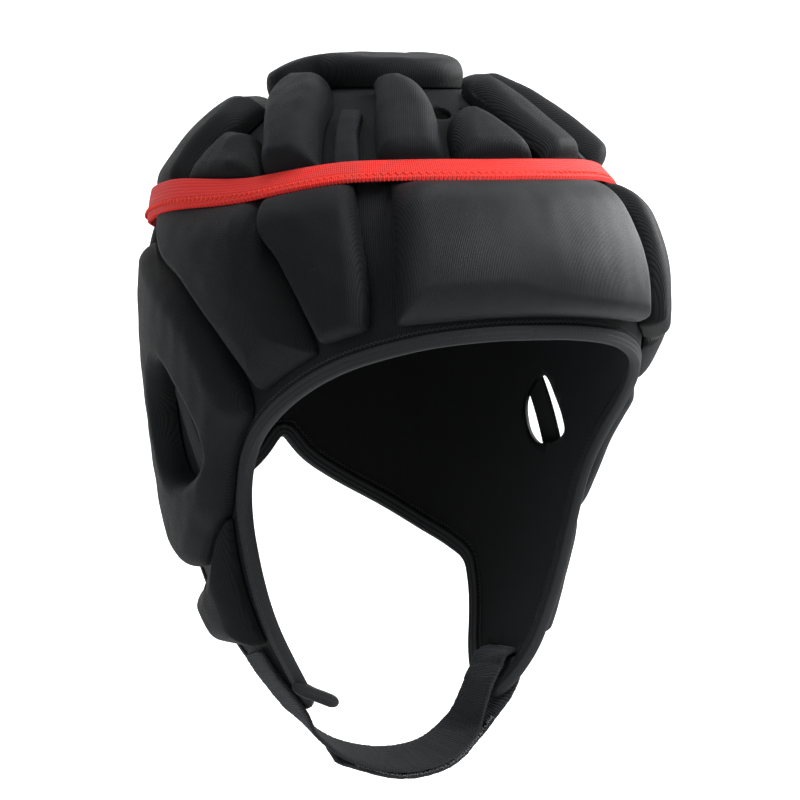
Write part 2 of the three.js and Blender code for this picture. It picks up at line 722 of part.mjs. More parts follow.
// The chin strap, one ribbon: down the outside of the right flap, under the chin, up inside the left
// flap, out through its slot, down over its outside and back under its own first layer.
function chinStrap(steps = 68) {
  const outside = LINER + BINDING_WRAP + CLEAR + STRAP_THICK / 2;
  const lean = STRAP_TILT * THREE.MathUtils.DEG2RAD;
  const leaning = new THREE.Vector3(0, -Math.cos(lean), -Math.sin(lean));
  const onFlap = (sign, down, lift) => ({
    at: skin(sign * STRAP_ANGLE, down, lift),
    across: frameAt(sign * STRAP_ANGLE, down).round.clone().multiplyScalar(-sign).normalize(),
  });
  const free = ({ side, back, drop }, under) => ({
    at: new THREE.Vector3(
      (side * HEAD_WIDTH) / 2,
      (back * HEAD_LENGTH) / 2,
      -drop * (FORM_DROP + STRAP_HANG),
    ),
    across: leaning.clone(),
    under,
  });
  const layer = STRAP_THICK + 1.5 * CLEAR;
  const stops = [
    ...STRAP_ON_RIGHT_FLAP.map((down) => onFlap(-1, down, outside)),
    ...STRAP_FREE.map((row) => free(row, 0)),
    ...STRAP_IN_LEFT_FLAP.map((down) => onFlap(1, down, -STRAP_INSIDE)),
    ...STRAP_TURN.map(({ down, lift }) => onFlap(1, down, lift * STRAP_INSIDE)),
    ...STRAP_BACK_OVER_FLAP.map((down) => onFlap(1, down, outside + CLEAR)),
    ...STRAP_FREE.slice(2).reverse().map((row) => free(row, layer)),
    free(STRAP_END, layer),
  ];
  const first = new THREE.CatmullRomCurve3(STRAP_FREE.map((row) => free(row, 0).at));
  for (const stop of stops) {
    if (!stop.under) continue;
    // the returning layer lies on the outer side of the first one
    const along = first.getTangent(THREE.MathUtils.clamp((stop.at.x / (HEAD_WIDTH / 2) + 0.45) / 0.82, 0, 1));
    stop.at.addScaledVector(along.cross(stop.across).normalize(), stop.under);
  }
  const line = new THREE.CatmullRomCurve3(stops.map((stop) => stop.at), false, "centripetal");
  const lean3 = new THREE.CatmullRomCurve3(stops.map((stop) => stop.across), false, "centripetal");
  return sweep(
    Array.from({ length: steps + 1 }, (_, i) => {
      const t = i / steps;
      const middle = line.getPoint(t);
      const along = line.getTangent(t);
      const spot = t * (stops.length - 1);
      const k = Math.min(Math.floor(spot), stops.length - 2);
      const across = stops[k].across.clone().lerp(stops[k + 1].across, spot - k);
      across.addScaledVector(along, -across.dot(along)).setLength(STRAP_WIDTH / 2);
      const up = along.clone().cross(across).setLength(STRAP_THICK / 2);
      return [
        middle.clone().sub(across).sub(up),
        middle.clone().sub(across).add(up),
        middle.clone().add(across).add(up),
        middle.clone().add(across).sub(up),
      ];
    }),
  );
}

const cap = new THREE.Group();
function add(name, geometry, look) {
  geometry.deleteAttribute("normal");
  const mesh = new THREE.Mesh(geometry, new THREE.MeshStandardMaterial(LOOKS[look]));
  mesh.name = name;
  cap.add(mesh);
}

add(
  "liner",
  cut(linerShell(), [
    through(EAR_HOLE),
    through(mirrored(EAR_HOLE)),
    through(roundHole(VENT, VENT_RADIUS)),
    through(roundHole({ ...VENT, angle: -VENT.angle }, VENT_RADIUS)),
    through(strapSlot()),
  ]),
  "lining",
);
add("edge_binding", binding(), "tape");
add("crown_band", band(), "elastic");
add("forehead_pad", pad(FOREHEAD_PAD), "satin");
add("crown_pad_top", topPad(), "knit");
add("crown_pad_front", pad(CROWN_PAD_FRONT), "knit");
add("crown_pad_rear_middle", pad(CROWN_PAD_REAR_MIDDLE), "knit");
add("nape_pad_middle", pad(NAPE_PAD_MIDDLE), "knit");
for (const [side, sign] of [["left", 1], ["right", -1]]) {
  for (const [name, rows] of Object.entries(PAD_PAIRS)) {
    const turned = rows.map((row) => ({ ...row, near: sign * row.near, far: sign * row.far }));
    add(`${name}_${side}`, pad(turned, name === "crown_strip" ? PAD_EDGE : PAD_RISE), "knit");
  }
  add(`ear_pad_${side}`, earPad(sign), "knit");
  add(`ear_bar_${side}`, earBar(sign), "tape");
}
add("chin_strap", chinStrap(), "tape");

export default cap;
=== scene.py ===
"""A padded rugby scrum cap in charcoal rib knit, held up as a head holds it.

Places on the cap are an angle round the head (0 at the face, 90 at the wearer's left ear) and a way
down from the crown in percent of the side of the head form. Lengths in the shapes are millimetres.
"""

from functools import partial

import bpy
import numpy as np
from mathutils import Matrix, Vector


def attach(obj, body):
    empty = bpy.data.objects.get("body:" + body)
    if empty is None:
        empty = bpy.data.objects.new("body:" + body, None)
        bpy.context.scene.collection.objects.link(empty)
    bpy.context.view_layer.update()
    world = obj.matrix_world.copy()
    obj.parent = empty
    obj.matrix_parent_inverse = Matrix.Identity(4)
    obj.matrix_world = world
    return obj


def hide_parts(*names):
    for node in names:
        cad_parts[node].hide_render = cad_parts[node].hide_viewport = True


bl_info = {
    "name": "Padded scrum cap",
    "version": (1, 0, 0),
    "blender": (4, 5, 0),
    "location": "View3D > Sidebar > Scrum Cap",
    "description": "Builds the knit pads, trims, strap and stage of a padded scrum cap",
    "category": "Add Mesh",
}

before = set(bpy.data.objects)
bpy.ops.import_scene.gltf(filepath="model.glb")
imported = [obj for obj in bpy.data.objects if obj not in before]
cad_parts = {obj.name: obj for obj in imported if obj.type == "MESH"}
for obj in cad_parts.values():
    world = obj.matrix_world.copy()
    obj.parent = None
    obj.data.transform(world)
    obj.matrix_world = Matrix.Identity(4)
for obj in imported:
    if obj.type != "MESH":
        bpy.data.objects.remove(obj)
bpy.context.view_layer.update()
BODY = "root"
MM = 0.001


def metres(name, about, default):
    return bpy.props.FloatProperty(name=name, description=about, default=default, unit="LENGTH")


def tint(name, about, default):
    return bpy.props.FloatVectorProperty(name=name, description=about, default=default, size=3,
                                         subtype="COLOR")


class CapSizes(bpy.types.PropertyGroup):
    """Sizes of the layers and trims that lie on the head form."""

    liner: metres("Liner", "Thickness of the inner shell", 0.0025)
    pad_rise: metres("Pad", "Thickness of a pad at its middle", 0.0095)
    pad_edge: metres("Pad under the band", "Thickness of a pad where the band crosses it", 0.003)
    pad_seam: metres("Seam", "Gap between two pads sewn side by side", 0.001)
    band_width: metres("Band width", "Width of the elastic band", 0.009)
    binding_width: metres("Binding width", "Width of the tape folded round the lower edge", 0.005)
    strap_width: metres("Strap width", "Width of the chin strap", 0.020)
    wale: metres("Wale", "Distance between two ribs of the knit", 0.00065)


class CapColours(bpy.types.PropertyGroup):
    """Colours of the cloths."""

    knit: tint("Knit", "Cloth over the pads", (0.0070, 0.0080, 0.0094))
    satin: tint("Satin", "Cloth of the forehead pad", (0.0098, 0.0108, 0.0122))
    lining: tint("Lining", "Inside of the liner", (0.0045, 0.0048, 0.0050))
    elastic: tint("Elastic", "Band round the crown", (0.93, 0.040, 0.032))
    tape: tint("Tape", "Binding and ear bars", (0.022, 0.0232, 0.025))
    loop: tint("Loop tape", "Chin strap", (0.020, 0.021, 0.0225))


# Head form: 149 mm ear to ear, 193 mm brow to nape, 228 mm from the crown to the lowest section
HEAD_WIDTH, HEAD_LENGTH, FORM_DROP, SQUARENESS = 149.0, 193.0, 228.0, 2.2
CLEAR = 0.5
# Rings of a pad's grid, the size of its dents, and how far its middle and a strip's swell over the shoulder
PAD_RINGS, DENT, PAD_BULGE, STRIP_BULGE = 34, 17.0, 0.5, 0.1
# Places along the lower edge for the binding and for the liner
BINDING_PLACES, LINER_PLACES = 1000, 480
# Zigzag stitches: sides of the thread; pitch, swing and radius of the thread for each
THREAD_SIDES = 6
EDGE_STITCH, BAND_STITCH = (1.6, 0.45, 0.13), (2.3, 0.75, 0.2)

# Sections of the form: share of the drop, half width, front and back as shares
SECTIONS = np.array([
    [0, 0, 0, 0], [0.0035, 0.161, 0.062, 0.207], [0.013, 0.322, 0.207, 0.415], [0.037, 0.456, 0.363, 0.549],
    [0.083, 0.664, 0.539, 0.756], [0.132, 0.805, 0.715, 0.876], [0.202, 0.944, 0.886, 0.96],
    [0.276, 1.0, 0.984, 0.99], [0.364, 1.0, 1.01, 1.005], [0.474, 0.96, 0.99, 1.014],
    [0.583, 0.906, 0.955, 1.01], [0.693, 0.846, 0.912, 0.99], [0.803, 0.752, 0.87, 0.93],
    [0.89, 0.625, 0.81, 0.81], [1.0, 0.376, 0.7, 0.61],
])
# Lower edge from brow to nape: angle, down
EDGE = np.array([
    [0, 45.9], [8.5, 46.0], [21.5, 46.9], [35.5, 49.1], [42.5, 50.7], [50.5, 53.0], [61, 56.5], [68, 59.4],
    [74, 63.3], [76.4, 66.5], [77.4, 70.4], [77.6, 74.1], [77.7, 78.7], [77.8, 83.9], [78, 88.0],
    [80.5, 91.7], [87, 94.8], [98, 95.9], [112, 95.0], [122.5, 92.1], [126.5, 88.9], [128, 85.7],
    [129.3, 82.5], [130.8, 80.0], [132.5, 78.0], [138.5, 76.1], [147.5, 73.8], [157.5, 70.7], [168.5, 67.2],
    [175.5, 64.3], [180, 61.1],
])
# Middle line of the band: angle, down
BAND = np.array([[0, 26.3], [25, 26.3], [38, 26.6], [50, 27.4], [60, 28.2], [80, 29.4], [112, 30.8],
                 [145, 32.3], [180, 33.1]])
# Where the band stops pressing the pads: from, to, share of the pad that is left
BAND_FREE = (65.0, 110.0, 0.9)
# The elastic: its thickness, how far it leans where it lies high, and the scallops of its lower edge
BAND_THICK, BAND_TILT, SCALLOPS = 1.6, 2.6, 372
TOP_PAD = np.array([[0, 8.7], [105, 8.7], [114, 11.6], [127, 13.7], [180, 13.7]])

# Pads row by row: near angle, near down, far angle, far down, bow of the row. B is the band's line.
B = -1
PADS = {
    "crown_pad_front": [[-4.5, 16.4, 4.5, 16.4, -0.5], [-8.5, 18.8, 8.5, 18.8, -0.2],
                        [-11, 22.8, 11, 22.8, 0], [-11, B, 11, B, 0]],
    "forehead_pad": [[-27.5, B, 27.5, B, 0], [-28.2, 33.9, 28.2, 33.9, 0], [-28.5, 38.0, 28.5, 38.0, -0.3],
                     [-28, 44.3, 28, 44.3, -1]],
    "crown_pad_rear_middle": [[162, 14.9, 198, 14.9, 0], [161, 22, 199, 22, 0], [161.5, B, 198.5, B, 0]],
    "nape_pad_middle": [[161, B, 199, B, 0], [160, 45, 200, 45, 0], [161, 61.5, 199, 61.5, -4.6]],
}
PAD_PAIRS = {
    "crown_pad_brow": [[18, 9.7, 36, 9.7, 0], [11.5, 12.1, 33.5, 12.1, 0], [10.5, 17.8, 31.5, 17.8, 0],
                       [12.5, 22.8, 30.5, 22.8, 0], [14.5, B, 30, B, 0]],
    "crown_strip": [[37, 14.9, 47, 14.9, 0], [35.5, 20.4, 44.5, 20.4, 0], [34.5, B, 42, B, 0]],
    "crown_pad_temple": [[68, 9.7, 105, 9.7, 0], [53.5, 14.2, 98, 14.2, 0], [48.5, 19.6, 77, 19.6, 0],
                         [46.5, 23.5, 68.5, 23.5, 0], [45, B, 63.5, B, 0]],
    "crown_pad_side": [[81, 20.5, 94, 20.5, 0], [72.5, 23.5, 100, 23.5, 0], [68, 26, 103, 26, 0],
                       [65.5, B, 104, B, 0]],
    "crown_pad_back": [[111, 14.9, 134, 14.9, 0], [101, 19.6, 137, 19.6, 0], [104, 24.2, 138.5, 24.2, 0],
                       [106, B, 139, B, 0]],
    "crown_pad_rear": [[137, 14.9, 159, 14.9, 0], [139.5, 22, 159, 22, 0], [141, B, 159.5, B, 0]],
    "side_pad_front": [[36.5, B, 64, B, 0], [34.5, 33.4, 60.5, 33.9, 0], [33.5, 37.9, 54, 37.1, 0],
                       [33, 42.1, 48, 41.6, 0], [33, 44.8, 42.5, 46.6, 0]],
    "side_pad_rear": [[64.5, B, 122, B, 0], [60.8, 34.5, 107.5, 37.0, 0], [54.6, 37.5, 90.5, 40.2, 0],
                      [48.8, 42.3, 78, 44.3, 0], [46, 45.5, 70, 48.3, 0], [44.5, 47.6, 61.5, 52.6, 0]],
    "cheek_pad": [[84.5, 68.6, 88, 70, 0], [85.3, 70.9, 96.5, 73.6, 0], [86, 74.3, 109.5, 77.3, 0],
                  [86.3, 78.6, 122, 80, 0], [86.3, 82.5, 121, 83.2, 0], [86.5, 85.6, 119, 85.8, 0]],
    "nape_pad": [[136, B, 159, B, 0], [137, 56.9, 158, 56.9, 0], [138, 72.6, 157, 67.2, 0]],
}
EAR_CENTRE = (103.0, 57.0)
# Ring pad round the ear: outer angle, outer down, hole angle, hole down
EAR_PAD = np.array([
    [128, 34.9, 113, 50.1], [111.5, 37.5, 108, 49.8], [92.5, 41.0, 102, 51.4], [80, 45.2, 97.5, 53.1],
    [73.5, 48.7, 93.5, 54.7], [68, 51.8, 90.5, 56.2], [66.5, 55.0, 88, 57.6], [71.5, 57.9, 87, 59.0],
    [77, 61.5, 87, 60.3], [80.5, 65.1, 89, 61.5], [85.5, 68.8, 93, 62.7], [93, 71.2, 97, 63.5],
    [101, 73.6, 101, 64.2], [109, 75.6, 105, 64.5], [121, 76.0, 111, 64.3], [130, 72.8, 116.5, 62.9],
    [134.5, 65.8, 120, 60.3], [134.5, 56.9, 121, 56.2], [133.5, 46.2, 118, 52.3],
    [132.5, 37.8, 115.5, 50.9],
])
EAR_HOLE = np.array([
    [107.5, 52.6], [100.5, 55.4], [95, 57.9], [92.5, 59.6], [95, 60.7], [102, 61.4], [108.5, 61.2],
    [113.5, 59.2], [115.5, 56.2], [112.5, 53.3],
])
# Bar across the hole: its two ends, and its reach forward and backward at each end
EAR_BAR = np.array([[116, 52.9], [98.4, 62.7]])
BAR_FRONT, BAR_REAR = (5.4, 3.4), (3.6, 7.4)
VENT = (7.0, 14.4, 4.2)
# The tongue at the tip of the right flap: half its width and its thickness, then its places
FLAP_TAB_SIZE = (4.2, 4.2)
FLAP_TAB = np.array([[-45.4, -5.6, -210.4], [-41.2, -9.2, -213.0], [-37.0, -11.6, -214.8],
                     [-32.2, -14.2, -217.0]])

# Chin strap: places on the flaps, its turn through the slot and its free way under the chin
STRAP_ANGLE, STRAP_TILT, STRAP_DROP, STRAP_THICK = 102.0, 20.0, 240.0, 1.8
FLAP_THICK, WRAP_THICK = 2.5, 0.8
STRAP_ON_RIGHT_FLAP = (86.8, 90, 94.6)
STRAP_IN_LEFT_FLAP = (94.6, 92.4)
STRAP_TURN = ((90.4, -3.2), (89.0, 0.7), (90.4, 4.6))
STRAP_BACK_OVER_FLAP = (92.4, 95.4)
STRAP_FREE = np.array([[-0.45, 0.06, 0.948], [-0.29, 0.04, 0.983], [-0.04, 0.02, 1.0], [0.2, 0.03, 0.989],
                       [0.37, 0.06, 0.953]])
STRAP_END = np.array([-0.33, 0.045, 0.977])

# Stage: a wide floor well under the cap, and a lit wall that stands beyond where any view is taken from
FLOOR_AT, FLOOR_HALF = -900.0, 14000.0
WALL_AWAY, WALL_HALF, WALL_TALL, WALL_BEND = 3600.0, 3400.0, 4700.0, 300.0
# The photograph's view: the way it looks, level, and the way to its right
TOWARDS, RIGHT = np.array([0.454, 0.891, 0.0]), np.array([0.891, -0.454, 0.0])
VIEW_TILT, VIEW_AWAY, VIEW_LENS, VIEW_AT = 3.0, 1.8, 226.8, (-0.0006, 0.0003, -0.111)
# Area lights: place, width, power
LIGHTS = {
    "key": ((0.95, -1.3, 1.2), 0.7, 50), "fill": ((-1.7, -0.9, 0.6), 1.2, 15),
    "top": ((0.1, 0.1, 1.8), 0.9, 17), "side": ((1.6, 0.35, 0.5), 0.8, 26),
}
PALE_LINT, PINK_LINT, WHITE_LINT = (0.16, 0.165, 0.17), (0.9, 0.3, 0.25), (0.7, 0.72, 0.75)
SHEEN_TINT = (0.62, 0.68, 0.78, 1)
LIGHTS_AIM, SKY_POWER = (0, 0, -0.11), 0.22
PAPER_TONES = (0.84, 0.84, 0.84), (0.88, 0.88, 0.88)


def sizes():
    """The sizes in the panel, in millimetres."""
    s = bpy.context.scene.cap_sizes
    return {key: getattr(s, key) / MM for key in CapSizes.__annotations__}


def eased(share):
    """Smoothstep of a share held between 0 and 1."""
    w = np.clip(share, 0, 1)
    return w * w * (3 - 2 * w)


def turned(angle):
    """Angles brought between -180 and 180."""
    return (np.asarray(angle, float) + 180) % 360 - 180


def way_along(points):
    """Length of the way from the first point to each of them."""
    return np.concatenate([[0], np.cumsum(np.linalg.norm(np.diff(points, axis=0), axis=1))])


def smooth(at, values, x):
    """Cubic Hermite curve through (at, values); each tangent is the slope between the two neighbours."""
    i = np.clip(np.searchsorted(at, x, side="left") - 1, 0, len(at) - 2)
    tangent = np.empty(len(at))
    tangent[1:-1] = (values[2:] - values[:-2]) / (at[2:] - at[:-2])
    tangent[0] = (values[1] - values[0]) / (at[1] - at[0])
    tangent[-1] = (values[-1] - values[-2]) / (at[-1] - at[-2])
    step = at[i + 1] - at[i]
    s = (x - at[i]) / step
    return (values[i] * (2 * s**3 - 3 * s**2 + 1) + tangent[i] * step * (s**3 - 2 * s**2 + s)
            + values[i + 1] * (3 * s**2 - 2 * s**3) + tangent[i + 1] * step * (s**3 - s**2))


FORM_Z = -SECTIONS[:, 0] * FORM_DROP
FORM_HALF = SECTIONS[:, 1] * HEAD_WIDTH / 2
FORM_FRONT = SECTIONS[:, 2] * HEAD_LENGTH / 2
FORM_BACK = SECTIONS[:, 3] * HEAD_LENGTH / 2
FORM_AT = np.concatenate([[0], np.cumsum(np.hypot(np.diff(FORM_Z), np.diff(FORM_HALF)))])
PERCENT = FORM_AT[-1] / 100


def on_form(angle, down):
    """Points of the head form: superellipse sections (r sin a, middle - r cos a, z)."""
    at = np.maximum(down * PERCENT, 0)
    half = np.maximum(smooth(FORM_AT, FORM_HALF, at), 1e-6)
    front, back = smooth(FORM_AT, FORM_FRONT, at), smooth(FORM_AT, FORM_BACK, at)
    reach = np.maximum((front + back) / 2, 1e-6)
    s, c = np.sin(np.radians(angle)), np.cos(np.radians(angle))
    r = (np.abs(s / half) ** SQUARENESS + np.abs(c / reach) ** SQUARENESS) ** (-1 / SQUARENESS)
    return np.stack([r * s, (back - front) / 2 - r * c, smooth(FORM_AT, FORM_Z, at) + 0 * s], -1)


def unit(v):
    return v / np.maximum(np.linalg.norm(v, axis=-1, keepdims=True), 1e-12)


def form_frame(angle, down):
    """Central differences along one degree and one percent, and their cross product as the outward normal."""
    h = 0.05
    angle, down = np.broadcast_arrays(np.asarray(angle, float), np.asarray(down, float))
    at = np.maximum(down, 0.3)
    around = (on_form(angle + h, at) - on_form(angle - h, at)) / (2 * h)
    fall = (on_form(angle, at + h) - on_form(angle, at - h)) / (2 * h)
    normal = unit(np.cross(fall, around))
    w = eased(down / 3)[..., None]
    return around, fall, unit(normal * w + np.array([0, 0, 1.0]) * (1 - w))


def skin(angle, down, lift):
    """The form moved out along its normal by lift."""
    angle, down, lift = np.broadcast_arrays(np.asarray(angle, float), np.asarray(down, float),
                                            np.asarray(lift, float))
    return on_form(angle, down) + form_frame(angle, down)[2] * lift[..., None]


def shifted(angle, down, vector):
    """Places moved along the form by vectors: solves the two-by-two metric of the form for each place."""
    around, fall, _ = form_frame(angle, down)
    a, b, c = (around * around).sum(-1), (around * fall).sum(-1), (fall * fall).sum(-1)
    p, q = (vector * around).sum(-1), (vector * fall).sum(-1)
    det = a * c - b * b
    return angle + (p * c - q * b) / det, down + (q * a - p * b) / det


def band_down(angle):
    """The band's middle line."""
    return smooth(BAND[:, 0], BAND[:, 1], np.abs(turned(angle)))


def under_band(angle, size):
    """Thickness of a pad under the band: pressed flat at the face, nearly whole from the ears back."""
    start, end, left = BAND_FREE
    free = eased((np.abs(turned(angle)) - start) / (end - start))
    return size["pad_edge"] + (size["pad_rise"] - size["pad_edge"]) * left * free


def curve(points, t, closed=False):
    """Centripetal Catmull-Rom curve: Hermite spans, knots at square roots of the point distances."""
    p = np.asarray(points, float)
    if closed:
        spans, full = len(p), np.vstack([p[-1:], p, p[:2]])
    else:
        spans, full = len(p) - 1, np.vstack([2 * p[0] - p[1], p, 2 * p[-1] - p[-2]])
    spot = np.clip(np.asarray(t, float), 0, 1) * spans
    k = np.minimum(spot.astype(int), spans - 1)
    w = (spot - k)[:, None]
    p0, p1, p2, p3 = full[k], full[k + 1], full[k + 2], full[k + 3]
    d0, d1, d2 = (np.sqrt(np.linalg.norm(b - a, axis=1, keepdims=True)) for a,
                  b in ((p0, p1), (p1, p2), (p2, p3)))
    d1 = np.where(d1 < 1e-4, 1, d1)
    d0, d2 = np.where(d0 < 1e-4, d1, d0), np.where(d2 < 1e-4, d1, d2)
    m1 = ((p1 - p0) / d0 - (p2 - p0) / (d0 + d1) + (p2 - p1) / d1) * d1
    m2 = ((p2 - p1) / d1 - (p3 - p1) / (d1 + d2) + (p3 - p2) / d2) * d1
    return p1 * (2 * w**3 - 3 * w**2 + 1) + m1 * (w**3 - 2 * w**2 + w) + p2 * (3 * w**2
            - 2 * w**3) + m2 * (w**3 - w**2)


def even_loop(angle, down, step, sigma, count=None):
    """A closed outline resampled at even steps along the form, then rounded by a Gaussian of width sigma."""
    turn = 360.0 * np.round((angle[-1] - angle[0]) / 360.0)
    a, d = np.append(angle, angle[0] + turn), np.append(down, down[0])
    way = way_along(skin(a, d, 3.0))
    n = count or int(np.clip(way[-1] / step, 90, 4000))
    want = np.arange(n) / n * way[-1]
    a, d = np.interp(want, way, a), np.interp(want, way, d)
    ramp = turn * np.arange(n) / n
    gain = np.exp(-2 * (np.pi * sigma * np.fft.rfftfreq(n, way[-1] / n)) ** 2)
    return np.fft.irfft(np.fft.rfft(a - ramp) * gain, n) + ramp, np.fft.irfft(np.fft.rfft(d) * gain, n)


def moved_in(angle, down, distance):
    """A closed line of places moved sideways along the form, to the right of its way round."""
    p = skin(angle, down, 0)
    along = np.roll(p, -1, 0) - np.roll(p, 1, 0)
    side = unit(np.cross(form_frame(angle, down)[2], along))
    return shifted(angle, down, side * np.asarray(distance, float)[..., None])


def rounded(s, power=2.2):
    """Shoulder of a pad: quarter superellipse (1 - (1 - s)^p)^(1/p) from 0 at the seam to 1 at the top."""
    return (1 - (1 - np.clip(s, 0, 1)) ** power) ** (1 / power)


def dents(points, seed):
    """Soft unevenness between -1 and 1: the mean of four sine products turned and shifted by the seed."""
    rng = np.random.default_rng(seed)
    total = np.zeros(points.shape[:-1])
    for _ in range(4):
        axes = np.linalg.qr(rng.normal(size=(3, 3)))[0]
        q = points @ axes / (DENT * rng.uniform(0.6, 1.4)) * 2 * np.pi + rng.uniform(0, 7, 3)
        total += np.sin(q[..., 0]) * np.cos(q[..., 1] + 0.5 * np.sin(q[..., 2]))
    return total / 4


def nearest(points, outline):
    """Distance from each point to the closest point of an outline."""
    flat = points.reshape(-1, 3)
    out = np.empty(len(flat))
    for i in range(0, len(flat), 4000):
        part = flat[i:i + 4000]
        out[i:i + 4000] = np.sqrt(((part[:, None] - outline[None]) ** 2).sum(-1)).min(1)
    return out.reshape(points.shape[:-1])


def quads(rows, cols, close_rows=False, close_cols=False, first=0):
    """Faces between neighbouring places of a grid of rows by cols points."""
    i = np.arange(rows if close_rows else rows - 1)[:, None]
    j = np.arange(cols if close_cols else cols - 1)[None]
    at = lambda r, c: (r % rows) * cols + c % cols + first
    return np.stack([at(i, j), at(i, j + 1), at(i + 1, j + 1), at(i + 1, j)], -1).reshape(-1, 4)


def fan(ring, centre):
    """Triangles from a ring of points to a centre point."""
    return np.stack([ring, np.roll(ring, -1), np.full(len(ring), centre)], -1)


def build(name, points, four, three=None, uv=None, looks=(), patch=None, shade=None):
    """A mesh object from points in millimetres, quads and triangles, turned to face outwards."""
    three = np.zeros((0, 3), int) if three is None else np.asarray(three)
    volume = 0.0
    for a, b, c in ((four[:, 0], four[:, 1], four[:, 2]), (four[:, 0], four[:, 2], four[:, 3]), three.T):
        volume += (points[a] * np.cross(points[b], points[c])).sum()
    if volume < 0:
        four, three = four[:, ::-1], three[:, ::-1]
    corners = np.concatenate([four.ravel(), three.ravel()]).astype(np.int32)
    starts = np.concatenate([np.arange(len(four)) * 4, len(four) * 4
                             + np.arange(len(three)) * 3]).astype(np.int32)
    mesh = bpy.data.meshes.new(name)
    mesh.vertices.add(len(points))
    mesh.vertices.foreach_set("co", (points * MM).astype(np.float32).ravel())
    mesh.loops.add(len(corners))
    mesh.loops.foreach_set("vertex_index", corners)
    mesh.polygons.add(len(starts))
    mesh.polygons.foreach_set("loop_start", starts)
    mesh.update(calc_edges=True)
    mesh.polygons.foreach_set("use_smooth", np.full(len(starts), True))
    if patch is not None:
        mesh.polygons.foreach_set("material_index", np.asarray(patch, np.int32))
    if uv is not None:
        layer = mesh.uv_layers.new(name="UVMap")
        layer.data.foreach_set("uv", uv[corners].astype(np.float32).ravel())
    # shoulder: 0 at a pad's seam, 1 on its top; materials with a rim amount use it to darken the seams as
    # painted shade
    if shade is not None:
        mesh.attributes.new("shoulder", "FLOAT", "POINT").data.foreach_set("value",
                shade.astype(np.float32).ravel())
    for look in looks:
        mesh.materials.append(look)
    obj = bpy.data.objects.new(name, mesh)
    bpy.context.scene.collection.objects.link(obj)
    return obj


def finish_piece(obj, *nodes):
    """Rides the cap's only body and stands for its CAD nodes."""
    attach(obj, BODY)
    if nodes:
        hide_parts(*nodes)


def node(tree, kind, inputs=None, **settings):
    """One shader node; inputs maps a socket's name or number to a value or to another node's output."""
    made = tree.nodes.new(kind)
    for key, value in settings.items():
        setattr(made, key, value)
    for key, value in (inputs or {}).items():
        if isinstance(value, bpy.types.NodeSocket):
            tree.links.new(value, made.inputs[key])
        else:
            made.inputs[key].default_value = value
    return made


def maths(tree, operation, a, b=0.0, c=0.0, clamp=False):
    return node(tree, "ShaderNodeMath", {0: a, 1: b, 2: c}, operation=operation, use_clamp=clamp).outputs[0]


def blend(tree, share, a, b):
    made = node(tree, "ShaderNodeMix", data_type="RGBA")
    for key, value in ((0, share), (6, a), (7, b)):
        if isinstance(value, bpy.types.NodeSocket):
            tree.links.new(value, made.inputs[key])
        else:
            made.inputs[key].default_value = value if key == 0 or len(value) == 4 else (*value, 1)
    return made.outputs[2]


def give_pattern(tree, height, given, out):
    """Sends out a pattern's height, and its shade: the height brought towards 1 as the contrast falls."""
    tree.links.new(height, out["Height"])
    pale = maths(tree, "SUBTRACT", 1.0, given["Contrast"])
    tree.links.new(maths(tree, "MULTIPLY_ADD", height, given["Contrast"], pale), out["Shade"])


def fill_knit(tree, given, out):
    """Rib knit: rounded wales |sin(pi x / wale)| with courses that bend down at the middle of each wale."""
    m = partial(maths, tree)
    axes = node(tree, "ShaderNodeSeparateXYZ", {0: given["Place"]})
    across = m("DIVIDE", axes.outputs[0], given["Wale"])
    bend = m("PINGPONG", across, 0.5)
    along = m("ADD", m("DIVIDE", axes.outputs[1], given["Course"]), m("MULTIPLY", bend, 1.3))
    rib = m("POWER", m("ABSOLUTE", m("SINE", m("MULTIPLY", across, np.pi))), 0.7)
    loop = m("MULTIPLY_ADD", m("SINE", m("MULTIPLY", along, 2 * np.pi)), 0.5, 0.5)
    height = m("MULTIPLY", rib, m("MULTIPLY_ADD", loop, 0.35, 0.65))
    give_pattern(tree, height, given, out)


def fill_cloth(tree, given, out):
    """Cloth variation: broad soft patches, fine fuzz and sparse pale lint, all from noise in object space."""
    m = partial(maths, tree)
    place = given["Place"]
    broad = {"Vector": place, "Scale": 22.0, "Detail": 3.0, "Roughness": 0.55}
    fine = {"Vector": place, "Scale": 2600.0, "Detail": 2.0, "Roughness": 0.7}
    patches = node(tree, "ShaderNodeTexNoise", broad)
    fuzz = node(tree, "ShaderNodeTexNoise", fine)
    lint = node(tree, "ShaderNodeTexVoronoi", {"Vector": place, "Scale": 260.0}, feature="F1")
    speck = node(tree, "ShaderNodeMapRange", {"Value": lint.outputs["Distance"], 1: 0.055, 2: 0.04, 3: 0.0,
                                              4: 1.0})
    rare = m("GREATER_THAN", node(tree, "ShaderNodeSeparateColor", {0: lint.outputs["Color"]}).outputs[0],
             0.93)
    tone = m("MULTIPLY_ADD", m("SUBTRACT", patches.outputs["Fac"], 0.5), given["Patches"], 1.0)
    tone = m("MULTIPLY", tone, m("MULTIPLY_ADD", m("SUBTRACT", fuzz.outputs["Fac"], 0.5), given["Fuzz"], 1.0))
    tree.links.new(tone, out["Tone"])
    tree.links.new(fuzz.outputs["Fac"], out["Fuzz"])
    tree.links.new(m("MULTIPLY", m("MULTIPLY", speck.outputs[0], rare), given["Lint"]), out["Lint"])


